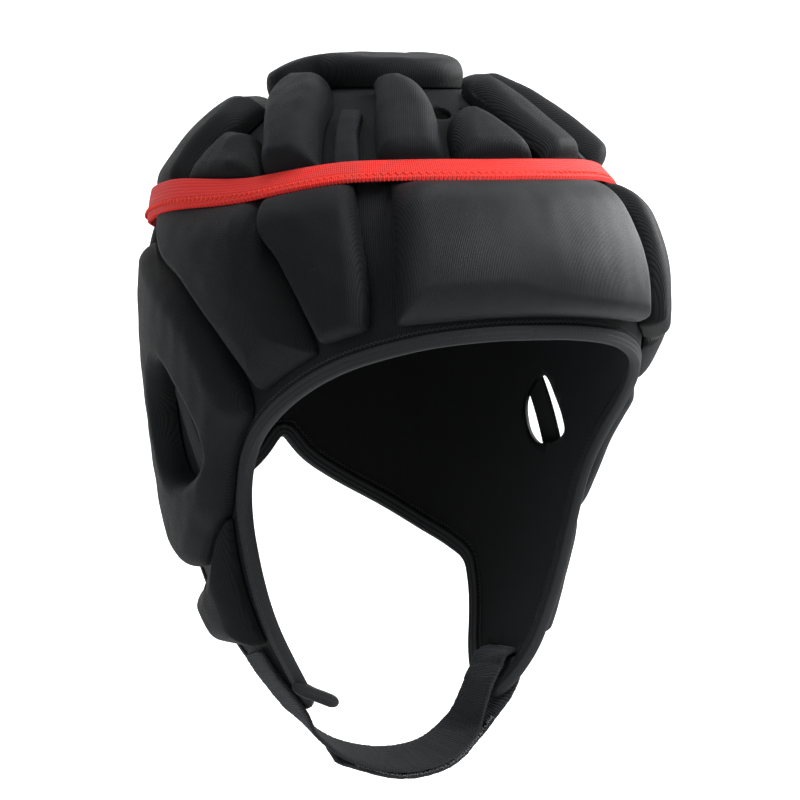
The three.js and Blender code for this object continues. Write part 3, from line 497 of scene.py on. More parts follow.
def fill_weave(tree, given, out):
    """Woven tape: bars across the tape and cords along it, sin(2 pi u / bar) times |sin(pi v / cord)|."""
    m = partial(maths, tree)
    axes = node(tree, "ShaderNodeSeparateXYZ", {0: given["Place"]})
    bars = m("SINE", m("MULTIPLY", m("DIVIDE", axes.outputs[0], given["Bar"]), 2 * np.pi))
    cords = m("ABSOLUTE", m("SINE", m("MULTIPLY", m("DIVIDE", axes.outputs[1], given["Cord"]), np.pi)))
    height = m("MULTIPLY", m("MULTIPLY_ADD", bars, 0.5, 0.5), m("MULTIPLY_ADD", cords, 0.5, 0.5))
    give_pattern(tree, height, given, out)


# Shader groups: their number inputs, what they give, and the function that fills them
GROUPS = {
    "Rib knit": ({"Wale": 0.65, "Course": 0.55, "Contrast": 0.5}, ("Shade", "Height"), fill_knit),
    "Cloth variation": ({"Patches": 0.6, "Fuzz": 0.5, "Lint": 0.5}, ("Tone", "Fuzz", "Lint"), fill_cloth),
    "Woven tape": ({"Bar": 0.8, "Cord": 0.6, "Contrast": 0.5}, ("Shade", "Height"), fill_weave),
}


def group(name):
    """A shader node group of the table, built once."""
    if name in bpy.data.node_groups:
        return bpy.data.node_groups[name]
    given, sent, fill = GROUPS[name]
    tree = bpy.data.node_groups.new(name, "ShaderNodeTree")
    tree.interface.new_socket(name="Place", in_out="INPUT", socket_type="NodeSocketVector")
    for label, value in given.items():
        socket = tree.interface.new_socket(name=label, in_out="INPUT", socket_type="NodeSocketFloat")
        socket.default_value = value
    for label in sent:
        tree.interface.new_socket(name=label, in_out="OUTPUT", socket_type="NodeSocketFloat")
    source, sink = tree.nodes.new("NodeGroupInput"), tree.nodes.new("NodeGroupOutput")
    fill(tree, source.outputs, sink.inputs)
    return tree


def pattern_node(tree, name, values, place):
    """A group in use, with its numbers and the places it draws on."""
    made = node(tree, "ShaderNodeGroup", node_tree=group(name))
    for label, value in zip(GROUPS[name][0], values):
        made.inputs[label].default_value = value
    tree.links.new(place, made.inputs["Place"])
    return made


def cloth_look(name, colour, pattern, variation, rough, sheen, depth, rim=0.0, shine=0.2, pale=PALE_LINT):
    """A cloth material: pattern shade and cloth variation tint the base colour, and both raise the bump."""
    if name in bpy.data.materials:
        return bpy.data.materials[name]
    look = bpy.data.materials.new(name)
    look.use_nodes = True
    tree = look.node_tree
    shader = tree.nodes["Principled BSDF"]
    place = node(tree, "ShaderNodeTexCoord")
    made = pattern_node(tree, *pattern, place.outputs["UV"])
    cloth = pattern_node(tree, "Cloth variation", variation, place.outputs["Object"])
    tone = maths(tree, "MULTIPLY", made.outputs["Shade"], cloth.outputs["Tone"])
    # rim darkens the base colour towards the pads' seams by the shoulder attribute: painted shade in the
    # valleys between pads
    if rim:
        shoulder = node(tree, "ShaderNodeAttribute", attribute_name="shoulder")
        shade = maths(tree, "MULTIPLY_ADD", shoulder.outputs["Fac"], rim, 1.0 - rim)
        tone = maths(tree, "MULTIPLY", tone, shade)
    scaled = node(tree, "ShaderNodeVectorMath", {0: (*colour,), "Scale": tone}, operation="SCALE")
    base = blend(tree, cloth.outputs["Lint"], scaled.outputs[0], pale)
    tree.links.new(base, shader.inputs["Base Color"])
    worn = maths(tree, "MULTIPLY_ADD", cloth.outputs["Fuzz"], 0.2, rough - 0.1, clamp=True)
    tree.links.new(worn, shader.inputs["Roughness"])
    height = maths(tree, "MULTIPLY_ADD", cloth.outputs["Fuzz"], 0.5, made.outputs["Height"])
    bump = node(tree, "ShaderNodeBump", {"Height": height, "Strength": 0.8, "Distance": depth})
    tree.links.new(bump.outputs[0], shader.inputs["Normal"])
    fixed = {"Sheen Weight": sheen, "Sheen Roughness": 0.45, "Sheen Tint": SHEEN_TINT,
             "Specular IOR Level": shine}
    for label, value in fixed.items():
        shader.inputs[label].default_value = value
    return look


def looks():
    """Every material of the cap by name."""
    c = bpy.context.scene.cap_colours
    wale = bpy.context.scene.cap_sizes.wale / MM
    knit, weave = (lambda *values: ("Rib knit", values)), (lambda *values: ("Woven tape", values))
    red, charcoal, grey = (0.9, 0.05, 0.02), (0.034, 0.0355, 0.038), (0.30, 0.305, 0.32)
    even = (0.1, 0.2, 0.0)
    # Rows: material, colour, pattern, patches-fuzz-lint, roughness, sheen, bump depth, then rim (painted
    # shade towards the pads' seams), shine and lint colour
    table = {
        "knit": ("Charcoal rib knit", c.knit, knit(wale, 0.55, 0.6), (0.5, 0.5, 0.25), 0.62, 0.02, 0.00018,
                 0.5, 0.13),
        "satin": ("Satin knit", c.satin, knit(wale * 0.9, 0.45, 0.4), (0.35, 0.35, 0.15), 0.5, 0.03, 0.0001,
                  0.5, 0.18),
        "lining": ("Smooth lining", c.lining, knit(0.5, 0.4, 0.3), (0.5, 0.4, 0.06), 0.9, 0.1, 0.00005),
        "elastic": ("Red elastic", c.elastic, weave(0.75, 1.0, 0.5), (0.2, 0.3, 0.0), 0.72, 0.1, 0.00016,
                    0.0, 0.2, PINK_LINT),
        "red_thread": ("Red thread", red, weave(0.4, 0.5, 0.3), even, 0.5, 0.1, 0.00003),
        "tape": ("Ribbed tape", c.tape, weave(0.62, 0.9, 0.55), (0.3, 0.4, 0.15), 0.7, 0.06, 0.0001),
        "thread": ("Charcoal thread", charcoal, weave(0.4, 0.5, 0.4), even, 0.55, 0.2, 0.00003),
        "loop": ("Loop tape", c.loop, weave(0.9, 1.4, 0.3), (1.1, 1.2, 0.6), 0.92, 0.08, 0.0003),
        "hook": ("Hook tape", grey, weave(1.1, 1.1, 0.6), (0.8, 0.8, 1.0), 0.4, 0.1, 0.0002, 0.0, 0.2,
                 WHITE_LINT),
    }
    return {key: cloth_look(*row) for key, row in table.items()}


def pad_outline(rows, sign):
    """A pad's four sides: two curves through the rows' ends, and the first and last rows with their bow."""
    rows = np.array(rows, float)
    rows[:, 1] = np.where(rows[:, 1] == B, band_down(rows[:, 0]), rows[:, 1])
    rows[:, 3] = np.where(rows[:, 3] == B, band_down(rows[:, 2]), rows[:, 3])
    v = np.linspace(0, 1, 161)
    near = curve(rows[:, [0, 1, 4]], v)
    far = curve(rows[:, [2, 3, 4]], v)
    u = np.linspace(0, 1, 81)[:, None]
    across = lambda k: near[k] * (1 - u) + far[k] * u
    ends = []
    for k in (0, -1):
        p = across(k)
        ends.append(np.column_stack([p[:, 0], p[:, 1] + 4 * p[:, 2] * u[:, 0] * (1 - u[:, 0])]))
    loop = np.vstack([near[:-1, :2], ends[1][:-1], far[::-1][:-1, :2], ends[0][::-1][:-1]])
    middle = (near[80, :2] + far[80, :2]) / 2
    return sign * loop[:, 0], loop[:, 1], sign * middle[0], middle[1]


def softness(angle, down, centre, front, rear):
    """A value for each direction from the centre: front towards the face, rear towards the nape."""
    p = skin(angle, down, 0)
    away = unit(p - skin(*centre, 0))
    around = unit(form_frame(*centre)[0]) * (1 if centre[0] >= 0 else -1)
    w = 0.5 - 0.5 * (away * around).sum(-1)
    return rear + (front - rear) * w


def puffed(name, outline, centre, size, rise, front, rear, look, seed, bulge):
    """A padded piece as a polar grid: rings shrink its outline to the centre, and the height is the
    superelliptic shoulder of the distance to the outline, held low near the band, over a floor that
    follows the liner."""
    rings = PAD_RINGS
    a, d = even_loop(*outline, 0.9, 1.4)
    n = len(a)
    ca, cd = centre
    base = size["liner"] + CLEAR
    away = np.linalg.norm(skin(a, d, base) - skin(ca, cd, base), axis=-1)
    keep = 1 - size["pad_seam"] / 2 / away
    a, d = ca + (a - ca) * keep, cd + (d - cd) * keep
    share = 1 - (np.arange(rings) / rings) ** 1.3
    ga, gd = ca + share[:, None] * (a - ca), cd + share[:, None] * (d - cd)
    ga, gd = np.vstack([ga, np.full(n, ca)]), np.vstack([gd, np.full(n, cd)])
    floor = skin(ga, gd, base)
    sewn = np.abs(d - band_down(a)) * np.linalg.norm(form_frame(a, d)[1], axis=-1) > 1.2
    far = nearest(floor, floor[0][sewn])
    radius = softness(a, d, centre, front, rear)
    body = rounded(far / radius, np.interp(radius, (4, 12), (2.4, 1.45)))
    fall = np.linalg.norm(form_frame(ga, gd)[1], axis=-1)
    to_band = np.abs(gd - band_down(ga)) * fall
    below = gd > band_down(ga)
    clear = to_band - size["band_width"] / 2 - np.where(below, 0.2, 0.6)
    free = np.where(below, rounded(clear / 13, 1.5), rounded(clear / 5.5, 2.0))
    edge = np.minimum(under_band(ga, size), rise)
    high = edge + (rise - edge) * free
    high = high + bulge * (1 - np.exp(-(far / 11) ** 2)) * free
    high = 0.5 + (high - 0.5) * body
    high = high + 0.28 * dents(floor, seed) * body * free
    top = skin(ga, gd, base + high)
    low_rows = np.unique(np.append(np.arange(0, rings, 5), rings))
    sunk = 0.15 * (1 - share[np.minimum(low_rows, rings - 1)])
    low = skin(ga[low_rows], gd[low_rows], base + sunk[:, None])
    stuffed(name, top, low, body, flat_uv(centre, base), look)


def flat_uv(centre, lift):
    """Gives a function that lays points out on the plane that touches the form at a place."""
    around, fall, _ = form_frame(*centre)
    axes = np.stack([unit(around), unit(fall)], -1)
    return lambda points: (points - skin(*centre, lift)) @ axes


def stuffed(name, top, low, body, uv_of, look):
    """A closed padded piece between rings of top points and rings of low points. The last row of each is
    its centre, and body is the shoulder of each top point."""
    nt, nb, n = len(top) - 1, len(low) - 1, top.shape[1]
    pts = np.vstack([top[:nt].reshape(-1, 3), top[nt, :1], low[:nb].reshape(-1, 3), low[nb, :1]])
    # The shoulder also sets how far the knit is darkened near the seams, as painted shade
    shade = np.concatenate([body[:nt].ravel(), body[nt, :1], np.zeros(nb * n + 1)])
    first = nt * n + 1
    ring = np.arange(n)
    wall = np.stack([ring, first + ring, first + (ring + 1) % n, (ring + 1) % n], -1)
    under = quads(nb, n, close_cols=True, first=first)[:, ::-1]
    four = np.vstack([quads(nt, n, close_cols=True), under, wall])
    low_fan = fan(first + (nb - 1) * n + ring, first + nb * n)[:, ::-1]
    three = np.vstack([fan((nt - 1) * n + ring, nt * n), low_fan])
    obj = build(name, pts, four, three, uv_of(pts), [look], shade=shade)
    finish_piece(obj, name.replace("_cloth", ""))


def lower_edge(count):
    """The whole lower edge as an even closed loop of angle and down, its corners rounded."""
    half = curve(np.column_stack([EDGE, np.zeros(len(EDGE))]), np.linspace(0, 1, 1400))[:, :2]
    half[0, 0], half[-1, 0] = 0, 180
    other = half[1:-1][::-1]
    a = np.concatenate([half[:, 0], 360 - other[:, 0]])
    d = np.concatenate([half[:, 1], other[:, 1]])
    return even_loop(a, d, 0.5, 1.6, count)


def tape_uv(way, girth):
    """Pattern places of a tape: the way along it and the way round it."""
    return np.stack(np.broadcast_arrays(way[:, None], girth[None]), -1).reshape(-1, 2)


def closed_tape(name, pts, girth, middle, look):
    """A tape that closes on itself, from its lines of points. The pattern keeps the length of one line."""
    n, m = pts.shape[:2]
    faces = quads(n, m, close_rows=True, close_cols=True)
    uv = tape_uv(way_along(pts[:, middle]), girth)
    return build(name, pts.reshape(-1, 3), faces, None, uv, [look])


def sweep(name, centres, side, up, profile, look, closed=False):
    """A profile of (sideways, upwards) points carried along a line; an open one gets a fan at each end.
    profile may be one outline for all places or an outline for each place."""
    profile = np.asarray(profile, float)
    if profile.ndim == 2:
        profile = np.broadcast_to(profile, (len(centres), *profile.shape))
    n, m = profile.shape[:2]
    pts = centres[:, None] + side[:, None] * profile[..., :1] + up[:, None] * profile[..., 1:]
    four = quads(n, m, close_rows=closed, close_cols=True)
    flat = pts.reshape(-1, 3)
    uv = tape_uv(way_along(centres), way_along(profile[0]))
    three = None
    if not closed:
        flat = np.vstack([flat, flat[:m].mean(0), flat[-m:].mean(0)])
        uv = np.vstack([uv, uv[:m].mean(0), uv[-m:].mean(0)])
        ring = np.arange(m)
        three = np.vstack([fan(ring, n * m)[:, ::-1], fan((n - 1) * m + ring, n * m + 1)])
    return build(name, flat, four, three, uv, [look])


def thread(name, path, radius, look):
    """A round thread along a closed path: a circle in the plane across the path."""
    along = unit(np.roll(path, -1, 0) - np.roll(path, 1, 0))
    out = unit(path - np.array([0, 5.0, -110.0]))
    side = unit(np.cross(along, out))
    up = np.cross(side, along)
    turn = np.arange(THREAD_SIDES) / THREAD_SIDES * 2 * np.pi
    circle = np.column_stack([np.cos(turn), np.sin(turn)]) * radius
    return sweep(name, path, side, up, circle, look, closed=True)


def zigzag(angle, down, lift, pitch, swing, offset):
    """A stitch line beside a closed line of places: a sharp wave of a pitch and swing, sunk at its ends."""
    p = skin(angle, down, 0)
    way = np.concatenate([[0], np.cumsum(np.linalg.norm(np.roll(p, -1, 0) - p, axis=1))])
    stitches = int(round(way[-1] / pitch))
    t = np.arange(stitches * 6) / (stitches * 6)
    index = np.interp(t * way[-1], way, np.arange(len(way)))
    at = np.arange(len(way))
    turns = 360 * np.round((angle[-1] - angle[0]) / 360)
    a = np.interp(index, at, np.append(angle, angle[0] + turns))
    d = np.interp(index, at, np.append(down, down[0]))
    lift = np.interp(index, np.arange(len(way)), np.append(lift + 0 * angle, (lift + 0 * angle)[0]))
    phase = t * stitches % 1
    wave = 4 * np.abs(phase - 0.5) - 1
    a, d = moved_in(a, d, offset + swing * wave)
    return skin(a, d, lift - 0.22 * np.abs(wave) ** 4)


class CAP_OT_liner(bpy.types.Operator):
    """The inner shell: knit outside, smooth lining inside, with ear holes, vents and the strap's slot"""

    bl_idname = "cap.liner"
    bl_label = "Liner"

    def execute(self, context):
        size, look = sizes(), looks()
        a, d = lower_edge(LINER_PLACES)
        a, d = moved_in(a, d, np.full(len(a), 0.9))
        side = np.where(a > 180, -1, 1)
        left = np.where(a > 180, 360 - a, a)
        low = np.clip((d - 53) / 36, 0, 1)
        low = low * low * (3 - 2 * low)
        fade = np.clip((np.abs(left - 97) - 35) / 40, 0, 1)
        fade = 1 - fade * fade * (3 - 2 * fade)
        top = left + (97 - left) * 0.7 * low * fade
        share = np.linspace(0.02, 1, 56)[:, None]
        ga, gd = side * (top + (left - top) * share**2), d * share
        outer, inner = skin(ga, gd, size["liner"]), skin(ga, gd, 0)
        n = len(a)
        rim = skin(ga[-1], gd[-1], size["liner"] / 2)
        pts = np.vstack([outer.reshape(-1, 3), rim, inner[::-1].reshape(-1, 3),
                         skin(0, 0, size["liner"])[None], skin(0, 0, 0)[None]])
        rows = 2 * len(share) + 1
        four = quads(rows, n, close_cols=True)
        ring = np.arange(n)
        three = np.vstack([fan(ring, rows * n)[:, ::-1], fan((rows - 1) * n + ring, rows * n + 1)])
        mm = np.radians(ga) * 78
        uv = np.stack([mm, gd * PERCENT], -1)
        uv = np.vstack([uv.reshape(-1, 2), uv[-1], uv[::-1].reshape(-1, 2), [[0, 0]], [[0, 0]]])
        patch = np.concatenate([np.repeat(np.arange(rows - 1) >= len(share), n), np.zeros(n, bool),
                                np.ones(n, bool)])
        # The liner's knit shows in the channels between the pads: a low shoulder value darkens all of it as
        # painted shade
        shade = np.full(len(pts), 0.35)
        obj = build("liner_cloth", pts, four, three, uv, [look["knit"], look["lining"]], patch=patch,
                    shade=shade)
        self.cut(obj, size)
        finish_piece(obj, "liner")
        return {"FINISHED"}

    def cut(self, obj, size):
        """Takes prisms that stand on the holes' outlines out of the shell."""
        outlines = []
        for sign in (1, -1):
            hole = curve(np.column_stack([EAR_HOLE, np.zeros(len(EAR_HOLE))]), np.arange(72) / 72,
                         closed=True)
            outlines.append((sign * hole[:, 0], hole[:, 1]))
            turn = np.arange(36) / 36 * 2 * np.pi
            around, fall, _ = form_frame(VENT[0], VENT[1])
            ring = unit(around) * np.cos(turn)[:, None] * VENT[2] + unit(fall) * np.sin(turn)[:,
                    None] * VENT[2]
            va, vd = shifted(np.full(36, VENT[0]), np.full(36, VENT[1]), ring)
            outlines.append((sign * va, vd))
        half, tall = size["strap_width"] / 2 + 1.2, 2.4
        turn = np.arange(40) / 40 * 2 * np.pi
        x = np.clip(np.cos(turn) * (half + 0.6), -half, half)
        y = np.clip(np.sin(turn) * (tall + 0.4), -tall, tall)
        around, fall, _ = form_frame(STRAP_ANGLE, STRAP_TURN[1][0] + 0.3)
        outlines.append(shifted(np.full(40, STRAP_ANGLE), np.full(40, STRAP_TURN[1][0] + 0.3),
                                unit(around) * x[:, None] + unit(fall) * y[:, None]))
        tools = []
        for i, (a, d) in enumerate(outlines):
            rings = np.stack([skin(a, d, lift) for lift in (-6, 10)])
            n = len(a)
            pts = np.vstack([rings.reshape(-1, 3), rings.mean(1)])
            ring = np.arange(n)
            three = np.vstack([fan(ring, 2 * n)[:, ::-1], fan(n + ring, 2 * n + 1)])
            tools.append(build(f"hole_{i}", pts, quads(2, n, close_cols=True), three))
        for tool in tools:
            cutter = obj.modifiers.new("hole", "BOOLEAN")
            cutter.operation, cutter.object, cutter.solver = "DIFFERENCE", tool, "EXACT"
        graph = bpy.context.evaluated_depsgraph_get()
        cut = bpy.data.meshes.new_from_object(obj.evaluated_get(graph))
        obj.modifiers.clear()
        old, obj.data = obj.data, cut
        bpy.data.meshes.remove(old)
        for tool in tools:
            bpy.data.meshes.remove(tool.data)


class CAP_OT_edge_binding(bpy.types.Operator):
    """The ribbed tape folded round the whole lower edge, and the stitches above it"""

    bl_idname = "cap.edge_binding"
    bl_label = "Edge binding"

    def execute(self, context):
        size, look = sizes(), looks()
        a, d = lower_edge(BINDING_PLACES)
        width, half = size["binding_width"], size["liner"] / 2
        s = np.linspace(0, 1, 25)
        ridge = 0.62 + 0.2 * np.abs(np.sin(np.pi * s * 3.0)) ** 0.8
        nose = np.sqrt(np.clip(1 - (1 - np.clip(s / 0.3, 0, 1)) ** 2, 0, 1))
        outer = np.column_stack([width * s, (half + ridge) * (0.25 + 0.75 * nose)])[::-1]
        fold = [[width, -half - 0.12], [1.2, -half + 0.1], [0.8, 0], [1.2, half - 0.1], [width, half + 0.12]]
        profile = np.vstack([outer, [[-0.12, 0.0]], outer[::-1] * [1, -1], fold])
        lines = []
        for across, lift in profile:
            la, ld = moved_in(a, d, np.full(len(a), across))
            lines.append(skin(la, ld, half + lift))
        nose = len(outer)
        girth = way_along(profile)
        obj = closed_tape("edge_binding_tape", np.stack(lines, 1), girth, nose, look["tape"])
        finish_piece(obj, "edge_binding")
        pitch, swing, radius = EDGE_STITCH
        for name, lift in (("edge_stitches", size["liner"] + 0.1), ("inner_edge_stitches", -0.1)):
            path = zigzag(a, d, lift, pitch, swing, width + 1.3)
            finish_piece(thread(name, path, radius, look["thread"]))
        self.tab(look)
        return {"FINISHED"}

    def tab(self, look):
        """The bound tip of the right flap: a short rounded bar along a curve through four places."""
        t = np.linspace(0, 1, 70)
        path = curve(FLAP_TAB, t)
        along = unit(np.gradient(path, axis=0))
        across = unit(np.cross(along, [0.0, 0.0, 1.0]))
        up = np.cross(across, along)
        turn = np.linspace(0, 2 * np.pi, 36, endpoint=False)
        c, v = np.cos(turn), np.sin(turn)
        ridge = 1 + 0.05 * np.cos(turn * 10)
        half, thick = FLAP_TAB_SIZE
        x = half * np.sign(c) * np.abs(c) ** 0.6
        y = thick / 2 * np.sign(v) * np.abs(v) ** 0.7
        section = np.column_stack([x, y]) * ridge[:, None]
        size = rounded((1 - t) / 0.2, 2.0) * (0.6 + 0.4 * rounded(t / 0.25, 2.0))
        sections = section[None] * size[:, None, None]
        finish_piece(sweep("flap_tab", path, across, up, sections, look["tape"]))


class CAP_OT_crown_band(bpy.types.Operator):
    """The red elastic round the crown: six ridges, a stitched flat and a scalloped lower edge"""

    bl_idname = "cap.crown_band"
    bl_label = "Crown band"

    def execute(self, context):
        size, look = sizes(), looks()
        width = size["band_width"]
        t = np.arange(SCALLOPS * 4) / (SCALLOPS * 4)
        a = t * 360 - 180
        d = band_down(a)
        base = size["liner"] + 2 * CLEAR + under_band(a, size)
        s = np.linspace(0, 1, 31)
        ridges = np.where(s < 0.66, 0.24 * np.abs(np.sin(np.pi * s / 0.66 * 6)), 0.05)
        crest = (BAND_THICK - 0.3 + ridges) * rounded(np.minimum(s, 1 - s) / 0.06, 2.0) ** 0.5
        fall = np.linalg.norm(form_frame(a, d)[1], axis=-1)
        picot = 0.45 * np.abs(np.sin(np.pi * t * SCALLOPS)) - 0.2
        sag = 0.12 * np.sin(np.radians(a) * 7 + 1) + 0.1 * np.sin(np.radians(a) * 17)
        raised = (base - base.min()) / max(np.ptp(base), 1e-6)
        top, low = [], []
        for row, (share, high) in enumerate(zip(s, crest)):
            across = (share - 0.5) * width + picot * np.clip((share - 0.85) / 0.15, 0, 1)
            down = d + across / fall
            lie = base + (0.5 - share) * BAND_TILT * raised + sag * 0.5
            top.append(skin(a, down, lie + high))
            if row in (0, 8, 15, 22, 30):
                low.append(skin(a, down, lie))
        pts = np.stack(top + low[::-1], 1)
        girth = np.concatenate([s, np.linspace(1, 0, len(low))]) * width
        obj = closed_tape("crown_band_elastic", pts, girth, 15, look["elastic"])
        finish_piece(obj, "crown_band")
        pitch, swing, radius = BAND_STITCH
        path = zigzag(a, d, base + BAND_THICK - 0.12, pitch, swing, -width * 0.27)
        finish_piece(thread("crown_band_stitches", path, radius, look["red_thread"]))
        return {"FINISHED"}


# Shoulder widths of the pads in millimetres, towards the face and towards the nape, and their extra height
SHOULDERS = {
    "crown_pad_brow": (7, 8, 0), "crown_strip": (2, 2, 0), "crown_pad_temple": (8, 6, 2),
    "crown_pad_side": (10, 6, 0.5), "crown_pad_back": (9, 7, 2.5), "crown_pad_rear": (8, 8, 2),
    "side_pad_front": (5.5, 4.5, 0), "side_pad_rear": (14, 4.5, 0), "cheek_pad": (9, 8, 0),
    "nape_pad": (9, 9, 0), "crown_pad_front": (8, 8, 0), "forehead_pad": (12, 5.5, 0.3),
    "crown_pad_rear_middle": (9, 9, 1), "nape_pad_middle": (9, 9, 0),
}


def make_pads(names):
    size, look = sizes(), looks()
    for seed, name in enumerate(names):
        paired = name in PAD_PAIRS
        for sign in (1, -1) if paired else (1,):
            a, d, ca, cd = pad_outline((PAD_PAIRS if paired else PADS)[name], sign)
            rise = size["pad_edge"] if name == "crown_strip" else size["pad_rise"]
            cloth = "satin" if name == "forehead_pad" else "knit"
            label = f"{name}_{'left' if sign > 0 else 'right'}" if paired else name
            front, rear, more = SHOULDERS[name]
            puffed(f"{label}_cloth", (a, d), (ca, cd), size, rise + more, front, rear, look[cloth],
                   seed * 7 + (sign > 0) + len(name),
                   STRIP_BULGE if name == "crown_strip" else PAD_BULGE)


class CAP_OT_crown_pads(bpy.types.Operator):
    """The pads above the band"""

    bl_idname = "cap.crown_pads"
    bl_label = "Crown pads"

    def execute(self, context):
        size, look = sizes(), looks()
        make_pads(["crown_pad_front", "crown_pad_rear_middle", "crown_pad_brow", "crown_strip",
                   "crown_pad_temple", "crown_pad_side", "crown_pad_back", "crown_pad_rear"])
        a = np.arange(720) / 2 - 180
        d = smooth(TOP_PAD[:, 0], TOP_PAD[:, 1], np.abs(a))
        x, y = d * np.sin(np.radians(a)), d * np.cos(np.radians(a))
        x, y = (np.fft.irfft(np.fft.rfft(v) * np.exp(-(np.arange(361) / 26.0) ** 2), 720) for v in (x, y))
        self.lid(x[::2], y[::2], size, look)
        return {"FINISHED"}

    def lid(self, x, y, size, look):
        """The round top pad: rings of its outline about the crown, shouldered as the other pads are."""
        a, d = np.degrees(np.arctan2(x, y)), np.hypot(x, y)
        base, rings, n = size["liner"] + CLEAR, 40, len(a)
        away = np.linalg.norm(skin(a, d, base) - skin(0, 0, base), axis=-1)
        d = d * (1 - size["pad_seam"] / 2 / away)
        share = 1 - (np.arange(rings) / rings) ** 1.3
        ga, gd = np.broadcast_to(a, (rings, n)), share[:, None] * d
        floor = skin(ga, gd, base)
        far = nearest(floor, floor[0])
        body = rounded(far / 6.0, 2.2)
        rearward = 0.5 - 0.5 * np.cos(np.radians(a))
        flat = 3.5 * (1 - np.linspace(0, 1, rings)[:, None] ** 2) * rearward
        high = 0.5 + (size["pad_rise"] - 0.2 + flat) * body + 0.25 * dents(floor, 3) * body
        low_rows = np.arange(0, rings, 6)
        centres = skin(0, 0, base + size["pad_rise"] + 0.3), skin(0, 0, base)
        rows = skin(ga, gd, base + high), skin(ga[low_rows], gd[low_rows], base)
        top, low = (np.concatenate([row, np.tile(end, (1, n, 1))]) for row, end in zip(rows, centres))
        body = np.vstack([body, np.ones(n)])
        stuffed("crown_pad_top_cloth", top, low, body, lambda points: points[:, :2], look["knit"])


class CAP_OT_side_pads(bpy.types.Operator):
    """The forehead, side, cheek and nape pads"""

    bl_idname = "cap.side_pads"
    bl_label = "Side pads"

    def execute(self, context):
        make_pads(["forehead_pad", "nape_pad_middle", "side_pad_front", "side_pad_rear", "cheek_pad",
                   "nape_pad"])
        return {"FINISHED"}


class CAP_OT_ear_pads(bpy.types.Operator):
    """The ring pads round the ears and the tape bars across their holes"""

    bl_idname = "cap.ear_pads"
    bl_label = "Ear pads"

    def execute(self, context):
        size, look = sizes(), looks()
        for sign, label in ((1, "left"), (-1, "right")):
            self.ring(sign, label, size, look)
            self.bar(sign, label, size, look)
        return {"FINISHED"}

    def ring(self, sign, label, size, look):
        """A ring between two outlines: rows run from the outer one to the hole, and the height is the
        shoulder of the distance to the nearer of the two."""
        n, rows = 300, 44
        t = np.arange(1200) / 1200
        base = size["liner"] + CLEAR
        loops = []
        for cols, sigma in (((0, 1), 2.6), ((2, 3), 1.2)):
            c = curve(np.column_stack([EAR_PAD[:, cols], np.zeros(len(EAR_PAD))]), t, closed=True)
            gain = np.exp(-2 * (np.pi * sigma * np.fft.rfftfreq(1200, 0.26)) ** 2)[:, None]
            c = np.fft.irfft(np.fft.rfft(c[:, :2], axis=0) * gain, 1200, axis=0)[::4]
            loops.append((sign * c[:, 0], c[:, 1]))
        (oa, od), (ha, hd) = loops
        width = np.linalg.norm(skin(oa, od, base) - skin(ha, hd, base), axis=-1)
        cut = size["pad_seam"] / 2 / width
        s = np.linspace(0, 1, rows)
        s = (s - 0.12 * np.sin(2 * np.pi * s))[:, None]
        u = cut + (1 - 2 * cut) * s
        ga, gd = oa + (ha - oa) * u, od + (hd - od) * u
        floor = skin(ga, gd, base)
        to_out, to_hole = nearest(floor, floor[0]), nearest(floor, floor[-1])
        centre = (sign * EAR_CENTRE[0], EAR_CENTRE[1])
        wide = softness(oa, od, centre, 12.0, 7.0)
        body = rounded(to_out / wide, 2.0) * rounded(to_hole / 6.0, 2.4)
        high = 0.5 + (size["pad_rise"] + 0.3) * body + 0.3 * dents(floor, 11 + sign) * body
        top = skin(ga, gd, base + high)
        low_rows = [0, rows // 3, 2 * rows // 3, rows - 1]
        low = skin(ga[low_rows], gd[low_rows], base)[::-1]
        pts = np.vstack([top.reshape(-1, 3), low.reshape(-1, 3)])
        faces = quads(rows + len(low_rows), n, close_rows=True, close_cols=True)
        uv = flat_uv(centre, base)(pts)
        # The ring's shoulder darkens its knit towards both edges as painted shade
        shade = np.concatenate([body.ravel(), np.zeros(len(low_rows) * n)])
        name = f"ear_pad_{label}_cloth"
        obj = build(name, pts, faces, None, uv, [look["knit"]], shade=shade)
        finish_piece(obj, f"ear_pad_{label}")

    def bar(self, sign, label, size, look):
        """A flat tape with six length ridges between two places on the liner, wider behind low down."""
        n = 60
        t = np.linspace(0, 1, n)
        a = sign * (EAR_BAR[0, 0] + (EAR_BAR[1, 0] - EAR_BAR[0, 0]) * t)
        d = EAR_BAR[0, 1] + (EAR_BAR[1, 1] - EAR_BAR[0, 1]) * t
        centre = skin(a, d, size["liner"] + CLEAR)
        along = unit(np.gradient(centre, axis=0))
        normal = form_frame(a, d)[2]
        side = unit(np.cross(along, normal))
        forward = skin(a - sign, d, size["liner"] + CLEAR) - centre
        ahead = np.sign(np.einsum("ij,ij->i", forward, side))[n // 2]
        reach = np.stack([BAR_REAR, BAR_FRONT], 1)
        reach = reach[0] + (reach[1] - reach[0]) * t[:, None]
        s = np.linspace(-1, 1, 37)
        ridge = 0.95 + 0.2 * np.abs(np.sin(np.pi * (s + 1) * 3)) - 0.5 * np.abs(s) ** 8
        s = np.concatenate([s, s[::-6]])
        ridge = np.concatenate([ridge, np.zeros(len(s) - len(ridge))])
        wide = np.where(s * ahead < 0, reach[:, :1], reach[:, 1:]) * s
        profile = np.stack([wide, np.broadcast_to(ridge, wide.shape)], -1)
        obj = sweep(f"ear_bar_{label}_tape", centre, side, normal, profile, look["tape"])
        finish_piece(obj, f"ear_bar_{label}")


